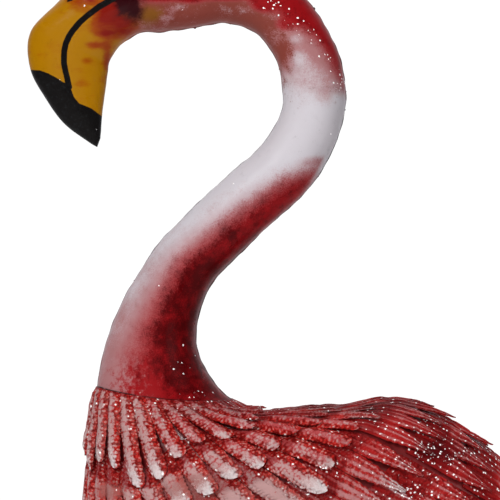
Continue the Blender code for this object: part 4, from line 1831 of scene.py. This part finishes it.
@dataclass
class Plumage:
    """Every row of feathers, from the collar to the tail.

    Each line gives the stations of a row's tips over the angle from the back's middle.
    """

    collar: Pairs = (
        (0, 0.85), (38, 1.35), (50, 1.75), (62, 2.3), (80, 2.4), (100, 2.5), (122, 2.8), (150, 2.25),
        (180, 1.9),
    )  # fmt: skip
    shoulder: Pairs = ((0, 3.0), (45, 3.25), (62, 3.15), (84, 3.8), (100, 3.6), (125, 3.5), (180, 3.1))
    breast: Pairs = ((0, 3.95), (30, 4.45), (60, 4.6), (75, 5.1), (100, 4.9), (130, 4.2), (180, 4.1))
    back: tuple[Pairs, ...] = (((0, 5.55), (45, 6.2)), ((0, 6.8), (45, 7.5)), ((0, 8.2), (45, 8.7)))
    wing: tuple[Pairs, ...] = (
        ((47, 6.1), (90, 6.4), (130, 5.7)),
        ((47, 7.3), (90, 7.7), (130, 6.8)),
        ((47, 9.6), (90, 9.0), (130, 7.9)),
    )
    belly: Pairs = ((133, 5.4), (180, 5.6))
    vent: tuple[Pairs, ...] = (((130, 8.2), (180, 8.5)), ((130, 9.4), (180, 9.8)))
    tail: Pairs = ((0, 12.8), (40, 12.4), (80, 11.6))
    seam_station: float = 0.06
    vent_station: float = 7.1
    tail_station: float = 7.9
    below: tuple[float, float] = (133.0, 227.0)
    tier_counts: tuple[int, ...] = (9, 8, 7)  # the feathers in each row of the back or of a wing
    primary_lift: float = 0.010  # how far the tips of a wing's last row stand off beyond the others
    wing_slot: str = "wing_paint"

    def rows(self) -> list[FeatherRow]:
        """All the rows, each rooted under the one before it.

        Returns:
            The rows in order.
        """
        whole, below, slot = (0.0, 360.0), self.below, self.wing_slot
        shoulder_root = TuckedRoot(LevelRoot(self.seam_station), self.collar, self.shoulder)
        breast_root = TuckedRoot(shoulder_root, self.shoulder, self.breast)
        made = [
            FeatherRow("collar_feathers", 30, whole, LevelRoot(-COLLAR_RIM), self.collar, 1, Style.BEADED),
            FeatherRow("shoulder_feathers", 34, whole, shoulder_root, self.shoulder, 2, Style.BEADED),
            FeatherRow("breast_feathers", 36, whole, breast_root, self.breast, 3, Style.BEADED),
        ]
        tiers = (
            ("back_feathers", (-45.0, 45.0), self.back, Style.STRIPED, 10),
            ("wing_left", (-130.0, -47.0), self.wing, Style.QUILLED, 20),
            ("wing_right", (47.0, 130.0), self.wing, Style.QUILLED, 20),
        )
        for name, span, lines, style, seed in tiers:
            root, before = breast_root, self.breast
            for k, (line, count) in enumerate(zip(lines, self.tier_counts)):
                root = TuckedRoot(root, before, line)
                lift = self.primary_lift if style is Style.QUILLED and line is lines[-1] else 0.0
                row = FeatherRow(f"{name}_{k + 1}", count, span, root, line, seed + k, style, slot, lift)
                made.append(row)
                before = line
        belly_root = TuckedRoot(breast_root, self.breast, self.belly)
        made.append(FeatherRow("belly_feathers", 9, below, belly_root, self.belly, 31, Style.QUILLED))

        first, second = self.vent
        vent_root, tail_root = LevelRoot(self.vent_station), LevelRoot(self.tail_station)
        second_root = TuckedRoot(vent_root, first, second)
        made.append(FeatherRow("vent_feathers_1", 8, below, vent_root, first, 32, Style.QUILLED, slot))
        made.append(FeatherRow("vent_feathers_2", 6, below, second_root, second, 33, Style.QUILLED, slot))
        tail = FeatherRow("tail_feathers", 9, (-80.0, 80.0), tail_root, self.tail, 40, Style.QUILLED, slot)
        return [*made, tail]

    def build(self) -> None:
        """Cuts, bends and paints every row."""
        cutter = StripCutter()
        groove, rosy, pale = (0.44, 0.014, 0.014), (0.50, 0.085, 0.085), (0.54, 0.22, 0.22)
        wing_lacquer = FeatherLacquer("wing_lacquer", groove=groove, rosy=rosy, pale=pale)
        finishes = {"feather_paint": FeatherLacquer().material(), self.wing_slot: wing_lacquer.material()}
        for row in self.rows():
            finish = finishes[row.slot]
            settle(row.build(cutter, finish), finish, (row.node,))
        cutter.clear()


@dataclass
class BodyShell:
    """The shell under the feathers, with a cone at each thigh."""

    sides: int = 72
    rings: int = 110
    thigh_low: float = 0.0098
    thigh_high: float = 0.026
    thigh_length: float = 0.055
    mouth_roll: float = 0.0008

    def build(self) -> Piece:
        """The shell, joined with its two thighs.

        Returns:
            The shell.
        """
        rings = np.linspace(0.0, SHELL_END, self.rings)
        stations, angles = np.repeat(rings, self.sides), np.tile(turns(self.sides), self.rings)
        points = TRUNK.points(stations, angles)
        points += TRUNK.normals(stations, angles) * (0.35 * MM * wavy(points, 0.05, 8))[:, None]
        shell = lofted("body_shell_skin", points.reshape(self.rings, self.sides, 3))
        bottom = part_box("body_shell")[0][2]
        for node in ("leg_left", "leg_right"):
            low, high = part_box(node)
            self.join(shell, self.thigh(f"thigh_of_{node}", (low[1] + high[1]) / 2, bottom))
        return shell

    def thigh(self, name: str, y: float, bottom: float) -> Piece:
        """One thigh: a flared cone from its socket's mouth up into the belly.

        Args:
            name: Its name.
            y: Where it stands.
            bottom: The height of its mouth.

        Returns:
            The cone.
        """
        share = np.linspace(0.0, 1.0, 24)
        radius = self.thigh_low + (self.thigh_high - self.thigh_low) * share**1.15
        radius[0] -= self.mouth_roll
        height = bottom + 0.0004 + 2 * self.thigh_length * share
        return lofted(name, level_rings(LEG_X, y, radius, height, 40))

    def join(self, shell: Piece, other: Piece) -> None:
        """Joins another closed shape to the shell for good.

        Args:
            shell: The shell.
            other: The other shape, which is removed.
        """
        union = shell.modifiers.new("union", "BOOLEAN")
        union.operation = "UNION"
        union.object = other
        bake_modifier(shell, union)
        bpy.data.objects.remove(other)
        shell.data.shade_smooth()
        shell.data.set_sharp_from_angle(angle=math.radians(50))


@dataclass
class Leg:
    """One leg rod with its ankle."""

    node: str
    radius: float = 0.006
    ankle_radius: float = 0.012
    ankle_back: float = 0.014  # how far the ankle stands behind the rod's ends
    swell: float = 0.022  # half the length of the ankle's knob
    top_straight: float = 0.020
    socket: float = 0.045
    sides: int = 28

    def build(self) -> Piece:
        """The rod as a closed tube, bent back a little and swollen at its ankle.

        Returns:
            The rod.
        """
        low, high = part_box(self.node)
        bottom, top = low[2], high[2]
        straight = top - self.socket - self.top_straight
        ankle = bottom + 0.5 * (straight - bottom)
        lower = np.linspace(bottom, ankle - 0.05, 20)
        middle = np.linspace(ankle - 0.048, ankle + 0.048, 60)
        heights = np.concatenate([lower, middle, np.linspace(ankle + 0.05, top, 30)])
        swell = self.swell
        bend = (
            (bottom, 0.0), (ankle - 2 * swell, 0.6), (ankle - swell, 0.85), (ankle, 1.0),
            (ankle + swell, 0.85), (ankle + 2 * swell, 0.6), (straight, 0.0), (top, 0.0),
        )  # fmt: skip
        back = np.convolve(np.pad(read_line(bend, heights), 3, "edge"), np.ones(7) / 7, "valid")
        knob = np.exp(-(((heights - ankle) / (0.55 * swell)) ** 2))
        radius = self.radius + knob * (self.ankle_radius - self.radius)
        y = (low[1] + high[1]) / 2
        rings = level_rings(LEG_X + back * self.ankle_back, y, radius, heights, self.sides)
        return lofted(f"{self.node}_rod", rings)


@dataclass
class Foot:
    """One webbed foot: three long toes with a cut web between them, and a short toe behind."""

    node: str
    toe_length: float = 0.078
    spread: float = math.radians(27)
    toe_radius: float = 0.0045
    tip_radius: float = 0.0025
    hind_length: float = 0.020
    web_share: float = 0.74
    web_thickness: float = 0.003
    knuckles: int = 3
    knuckle_top: float = 0.0066

    def toe(self, name: str, centre: Array, angle: float, length: float) -> Piece:
        """A tapered toe with its knuckles, lying on the web.

        Args:
            name: Its name.
            centre: The foot's middle, on the plate.
            angle: Its direction, in radians from straight ahead.
            length: Its length.

        Returns:
            The toe.
        """
        share = np.linspace(0.0, 1.0, 46)
        radius = self.toe_radius + (self.tip_radius - self.toe_radius) * share
        radius = radius * (1.0 + 0.12 * np.cos(2 * math.pi * self.knuckles * share))
        radius = radius * np.sqrt(np.clip(1.0 - 0.96 * smooth(share, 0.93, 1.0) ** 2, 0.02, 1.0))
        turn = turns(16)[None, :, None]
        forward = np.array([-math.cos(angle), math.sin(angle), 0.0])
        side = np.array([math.sin(angle), math.cos(angle), 0.0])
        upward = np.array([0.0, 0.0, 0.95])
        path = centre + forward * (share[:, None] * length - 0.6 * self.toe_radius)
        path[:, 2] += self.toe_radius + 0.0004
        ring = side * np.cos(turn) + upward * np.sin(turn)
        return lofted(name, path[:, None, :] + radius[:, None, None] * ring)

    def web(self, name: str, centre: Array, first: float, second: float) -> Piece:
        """The web between two toes: a thin sheet that sags a little, with a hollow front edge.

        Args:
            name: Its name.
            centre: The foot's middle, on the plate.
            first: The direction of one toe, in radians from straight ahead.
            second: The direction of the other.

        Returns:
            The web.
        """
        count = 17
        turn, out = np.meshgrid(np.linspace(0, 1, count), np.linspace(0.02, 1.0, 26), indexing="ij")
        angle = first + (second - first) * turn
        hollow = (1.0 - self.web_share) * np.sin(math.pi * turn) ** 0.8
        reach = out * (1.0 - self.toe_radius / self.toe_length - hollow) * self.toe_length
        ripple = 0.35 * MM * np.sin(out * 40.0) * np.sin(math.pi * turn)
        sag = 0.8 * MM * np.sin(math.pi * turn) * out
        height = self.web_thickness - sag + ripple
        x, y = -reach * np.cos(angle), reach * np.sin(angle)
        top = np.stack([x, y, height], axis=2)
        low = np.stack([x, y, np.full(x.shape, 0.0003)], axis=2)
        return closed_sheet(name, np.concatenate([top, low[:, ::-1]], axis=1) + centre)

    def build(self) -> Piece:
        """The foot as one object.

        Returns:
            The foot.
        """
        low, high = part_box(self.node)
        centre = np.array([LEG_X, (low[1] + high[1]) / 2, low[2]])
        toes = (-self.spread, 0.0, self.spread)
        pieces = []
        for k, (first, second) in enumerate(zip(toes, toes[1:])):
            pieces.append(self.web(f"{self.node}_web_{k}", centre, first, second))
        for k, angle in enumerate(toes):
            pieces.append(self.toe(f"{self.node}_toe_{k}", centre, angle, self.toe_length))
        pieces.append(self.toe(f"{self.node}_toe_3", centre, math.pi, self.hind_length))
        pieces.append(self.knuckle(centre, high[2]))
        return joined(f"{self.node}_webbed", pieces)

    def knuckle(self, centre: Array, top: float) -> Piece:
        """The boss that the leg stands on.

        Args:
            centre: The foot's middle, on the plate.
            top: The height of its top.

        Returns:
            The boss.
        """
        share = np.linspace(0.0, 1.0, 14)
        bottom = centre[2] + 0.0005
        low = 1.7 * self.toe_radius
        radius = low + (self.knuckle_top - low) * smooth(share, 0.0, 1.0)
        rings = level_rings(centre[0], centre[1], radius, bottom + (top - bottom) * share, 24)
        return lofted(f"{self.node}_knuckle", rings)


def joined(name: str, pieces: list[Piece]) -> Piece:
    """One object from several, whose meshes stay closed shells of their own.

    Args:
        name: The object's name.
        pieces: The objects, which are removed.

    Returns:
        The object.
    """
    builder = bmesh.new()
    for piece in pieces:
        builder.from_mesh(piece.data)
    mesh = bpy.data.meshes.new(name)
    builder.to_mesh(mesh)
    builder.free()
    for piece in pieces:
        bpy.data.objects.remove(piece)
    mesh.shade_smooth()
    mesh.set_sharp_from_angle(angle=math.radians(45))
    return placed(name, mesh)


@dataclass
class BasePlate:
    """The oval plate, with a rounded edge and a hammered top."""

    node: str = "base_plate"
    edge: float = 0.0015
    sides: int = 128
    dent: float = 0.00022

    def build(self) -> Piece:
        """The plate as one closed mesh: its underside, its rounded edge, and its dented top.

        Returns:
            The plate.
        """
        low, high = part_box(self.node)
        half = (np.array(high) - np.array(low)) / 2
        thick = high[2] - low[2]
        steps = [(-half[0] * 0.96, low[2]), (-half[0] * 0.5, low[2]), (-self.edge, low[2])]
        for bend in np.linspace(-math.pi / 2, math.pi / 2, 9):
            rise = thick / 2 + (thick / 2) * math.sin(bend)
            steps.append((-self.edge * (1.0 - math.cos(bend)), low[2] + rise))
        steps += [(-half[0] * share, high[2]) for share in np.linspace(0.02, 0.96, 34)]
        turn = turns(self.sides)
        rings = []
        for shift, height in steps:
            a, b = half[0] + shift, half[1] + shift * half[1] / half[0]
            rings.append(np.stack([a * np.cos(turn), b * np.sin(turn), np.full(self.sides, height)], axis=1))
        flat = np.array(rings).reshape(-1, 3)
        flat[:, 2] -= np.where(flat[:, 2] > high[2] - 1e-6, self.dent * (1 + wavy(flat, 0.022, 9)), 0.0)
        return lofted("base_plate_hammered", flat.reshape(len(rings), self.sides, 3))


class BeadLayer:
    """The Geometry Nodes tree that lays weld beads along a path."""

    def __init__(self) -> None:
        """Makes the tree, with its sizes as named inputs."""
        kinds = {"Spacing": "Float", "Radius": "Float", "Share": "Float", "Seed": "Int"}
        wire, given = geometry_tree("weld_beads", {**kinds, "Finish": "Material"})
        seed, radius = given.outputs["Seed"], given.outputs["Radius"]
        path = wire.node("GeometryNodeMeshToCurve", Mesh=given.outputs["Geometry"])
        spots = wire.node("GeometryNodeCurveToPoints", {"mode": "LENGTH"}, Curve=path.outputs[0])
        wire.put(spots.inputs["Length"], given.outputs["Spacing"])
        chosen = wire.node("FunctionNodeRandomValue", {"data_type": "BOOLEAN"}, Seed=seed)
        wire.put(chosen.inputs["Probability"], given.outputs["Share"])
        size = wire.node("FunctionNodeRandomValue", {"data_type": "FLOAT"}, Seed=seed)
        wire.put(size.inputs[2], wire.times(radius, 0.6))
        wire.put(size.inputs[3], wire.times(radius, 1.3))
        bead = wire.node("GeometryNodeMeshIcoSphere", Radius=1.0, Subdivisions=2)
        laid = wire.node(
            "GeometryNodeInstanceOnPoints",
            Points=spots.outputs[0],
            Selection=chosen.outputs[3],
            Instance=bead.outputs[0],
            Rotation=spots.outputs["Rotation"],
            Scale=size.outputs[1],
        )
        make_real(wire, laid, given.outputs["Finish"])
        self.tree = wire.tree

    def lay(
        self,
        name: str,
        paths: list[Array],
        spacing: float,
        radius: float,
        share: float,
        seed: int,
        finish: Finish,
    ) -> Piece:
        """Lays beads along some paths.

        Args:
            name: The object's name.
            paths: Rows of points, one array for each path.
            spacing: Between beads.
            radius: Of a middling bead.
            share: How many of the places get a bead.
            seed: Fixes the choice.
            finish: The beads' paint.

        Returns:
            The beads as a plain mesh.
        """
        points: list[list[float]] = []
        edges: list[tuple[int, int]] = []
        for path in paths:
            start = len(points)
            points += path.tolist()
            edges += [(start + k, start + k + 1) for k in range(len(path) - 1)]
        mesh = bpy.data.meshes.new(name)
        mesh.from_pydata(points, edges, [])
        made = placed(name, mesh)
        values = {"Spacing": spacing, "Radius": radius, "Share": share, "Seed": seed, "Finish": finish}
        bake_nodes(made, self.tree, values)
        made.data.shade_smooth()
        return made


def circle_path(x: float, y: float, z: float, radius: float) -> Array:
    """A level circle of points about x and y, of which the last is the first again."""
    turn = np.linspace(0.0, 2 * math.pi, 49)
    return np.stack([x + radius * np.cos(turn), y + radius * np.sin(turn), np.full(49, z)], axis=1)


@dataclass
class Welds:
    """The little beads left along the neck's seams and round the rods."""

    seam_stations: tuple[float, float] = (1.0, 17.0)
    nub_spacing: float = 0.016
    nub_radius: float = 0.0012
    nub_share: float = 0.14
    bead_spacing: float = 0.0022
    bead_radius: float = 0.0013
    foot_ring: float = 0.0068
    socket_ring: float = 0.0072

    def build(self) -> None:
        """Lays the beads and settles them."""
        layer = BeadLayer()
        finish = PlainLacquer(
            "weld_lacquer", (0.035, 0.012, 0.014), (0.09, 0.02, 0.025), (0.2, 0.1, 0.1), 90.0
        ).material()
        stations = np.linspace(*self.seam_stations, 260)
        seams = [NECK.points(stations, np.full(len(stations), angle)) for angle in (math.pi, 0.0)]
        spacing, radius, share = self.nub_spacing, self.nub_radius, self.nub_share
        nubs = layer.lay("neck_weld_nubs", seams, spacing, radius, share, 4, finish)
        settle(nubs, finish, ())
        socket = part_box("body_shell")[0][2]
        rings = []
        for node in ("leg_left", "leg_right"):
            low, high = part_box(node)
            y = (low[1] + high[1]) / 2
            rings.append(circle_path(LEG_X, y, low[2] + 0.0006, self.foot_ring))
            rings.append(circle_path(LEG_X, y, socket + 0.0002, self.socket_ring))
        beads = layer.lay("rod_weld_beads", rings, self.bead_spacing, self.bead_radius, 1.0, 5, finish)
        settle(beads, finish, ())


@dataclass
class Studio:
    """The plain pale floor, the soft lights, and the camera at the photograph's side view."""

    distance: float = 3.2
    frame_pixels: float = 500.0
    floor_radius: float = 2.6
    sensor: float = 36.0  # millimetres
    aim: tuple[float, float, float] = (-0.05, 0.0, 0.8)

    def camera(self) -> None:
        """A level camera whose frame is the photograph's."""
        middle = self.frame_pixels / 2
        x = (VIEW_LEFT + middle * PIXEL - BIRD_FORWARD) * MM
        z = (VIEW_TOP - middle * PIXEL) * MM + PLATE_TOP
        data = bpy.data.cameras.new("side_view")
        data.sensor_width = self.sensor
        data.lens = self.sensor * self.distance / (self.frame_pixels * PIXEL * MM)
        made = placed("side_view", data)
        made.location = (x, -self.distance, z)
        made.rotation_euler = (math.pi / 2, 0.0, 0.0)
        bpy.context.scene.camera = made

    def light(
        self, name: str, place: tuple[float, float, float], size: float, watts: float, mirrored: bool = True
    ) -> None:
        """One soft square light, aimed at the middle of the bird.

        Args:
            name: Its name.
            place: Where it hangs.
            size: Its side.
            watts: Its power.
            mirrored: Whether the lacquer mirrors it, as well as being lit by it.
        """
        data = bpy.data.lights.new(name, "AREA")
        data.energy = watts
        data.size = size
        made = placed(name, data)
        made.location = place
        made.rotation_euler = (Vector(self.aim) - Vector(place)).to_track_quat("-Z", "Y").to_euler()
        made.visible_glossy = mirrored
        made.visible_camera = False

    def world(self) -> None:
        """A white surround for the camera, and a greyer one for the light it casts."""
        made = bpy.data.worlds.new("studio")
        made.use_nodes = True
        made.node_tree.nodes.clear()
        wire = Wiring(made.node_tree)
        way = wire.node("ShaderNodeSeparateXYZ", Vector=wire.node("ShaderNodeTexCoord").outputs["Generated"])
        behind = wire.step(way.outputs[1], 0.0, 0.8)
        strength = wire.add((behind, 0.55), 0.05)
        shown = wire.node("ShaderNodeBackground", Color=(1.0, 1.0, 1.0), Strength=1.05)
        cast = wire.node("ShaderNodeBackground", Color=(0.95, 0.95, 1.0), Strength=strength)
        path = wire.node("ShaderNodeLightPath")
        both = wire.node("ShaderNodeMixShader")
        sockets = (path.outputs["Is Camera Ray"], cast.outputs[0], shown.outputs[0])
        for socket, value in zip(both.inputs, sockets):
            wire.put(socket, value)
        wire.node("ShaderNodeOutputWorld", Surface=both.outputs[0])
        bpy.context.scene.world = made

    def floor(self) -> None:
        """A round pale floor, which is no part of the object."""
        points = level_rings(0.0, 0.0, np.array([self.floor_radius]), np.array([-0.0005]), 96)[0]
        made = mesh_object("studio_floor", points, [tuple(range(len(points)))])
        material, wire = new_material("floor_paint")
        patches = wire.step(wire.noise(wire.place(), 3.0), 0.3, 0.7)
        tone = wire.mix(patches, (0.80, 0.80, 0.80), (0.84, 0.84, 0.84))
        shader = wire.node("ShaderNodeBsdfPrincipled", Roughness=0.8, Base_Color=tone)
        wire.node("ShaderNodeOutputMaterial", Surface=shader.outputs[0])
        made.data.materials.append(material)

    def build(self) -> None:
        """Sets up the whole studio."""
        self.world()
        self.floor()
        self.light("key_light", (-1.3, -1.9, 2.6), 1.0, 40.0)
        self.light("fill_light", (1.9, -1.6, 1.5), 1.3, 7.0)
        self.light("top_light", (0.2, 0.4, 2.8), 1.0, 16.0)
        self.light("front_fill", (-0.3, -3.6, 1.4), 3.2, 48.0, mirrored=False)
        self.light("back_fill", (0.3, 3.4, 1.6), 3.2, 60.0, mirrored=False)
        self.light("low_fill", (-1.2, -2.2, 0.15), 1.5, 8.0, mirrored=False)
        self.camera()
        bpy.context.scene.view_settings.view_transform = "Standard"


def dress_plain_parts() -> None:
    """Builds and settles the body shell, the legs, the feet and the base plate."""
    # The shell is painted dark red so that, where it shows between the feathers, it reads as painted shade.
    body_shade_finish = PlainLacquer(
        "body_shade_lacquer", (0.12, 0.006, 0.007), (0.26, 0.022, 0.024), (0.05, 0.004, 0.004), 34.0
    ).material()
    settle(BodyShell().build(), body_shade_finish, ("body_shell",))
    leg_finish = PlainLacquer(
        "leg_lacquer", (0.45, 0.10, 0.10), (0.58, 0.22, 0.20), (0.12, 0.02, 0.02), 60.0
    ).material()
    for node in ("leg_left", "leg_right"):
        settle(Leg(node).build(), leg_finish, (node,))
    for node in ("foot_left", "foot_right"):
        settle(Foot(node).build(), leg_finish, (node,))
    plate_gloss = Gloss(0.34, 0.25, 0.2, 0.2)
    plate_finish = PlainLacquer(
        "plate_lacquer", (0.018, 0.014, 0.013), (0.035, 0.026, 0.022), (0.11, 0.05, 0.03), 30.0, plate_gloss
    ).material()
    settle(BasePlate().build(), plate_finish, ("base_plate",))


def main() -> None:
    """Builds the finished bird and the studio around it."""
    logging.basicConfig(level=logging.INFO, format="%(name)s: %(message)s", stream=sys.stdout)
    neck_finish = NeckLacquer().material()
    settle(HeadAndNeck().build(), neck_finish, ("head_and_neck",))
    Plumage().build()
    dress_plain_parts()
    Welds().build()
    Studio().build()
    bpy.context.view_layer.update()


if __name__ == "__main__":
    main()
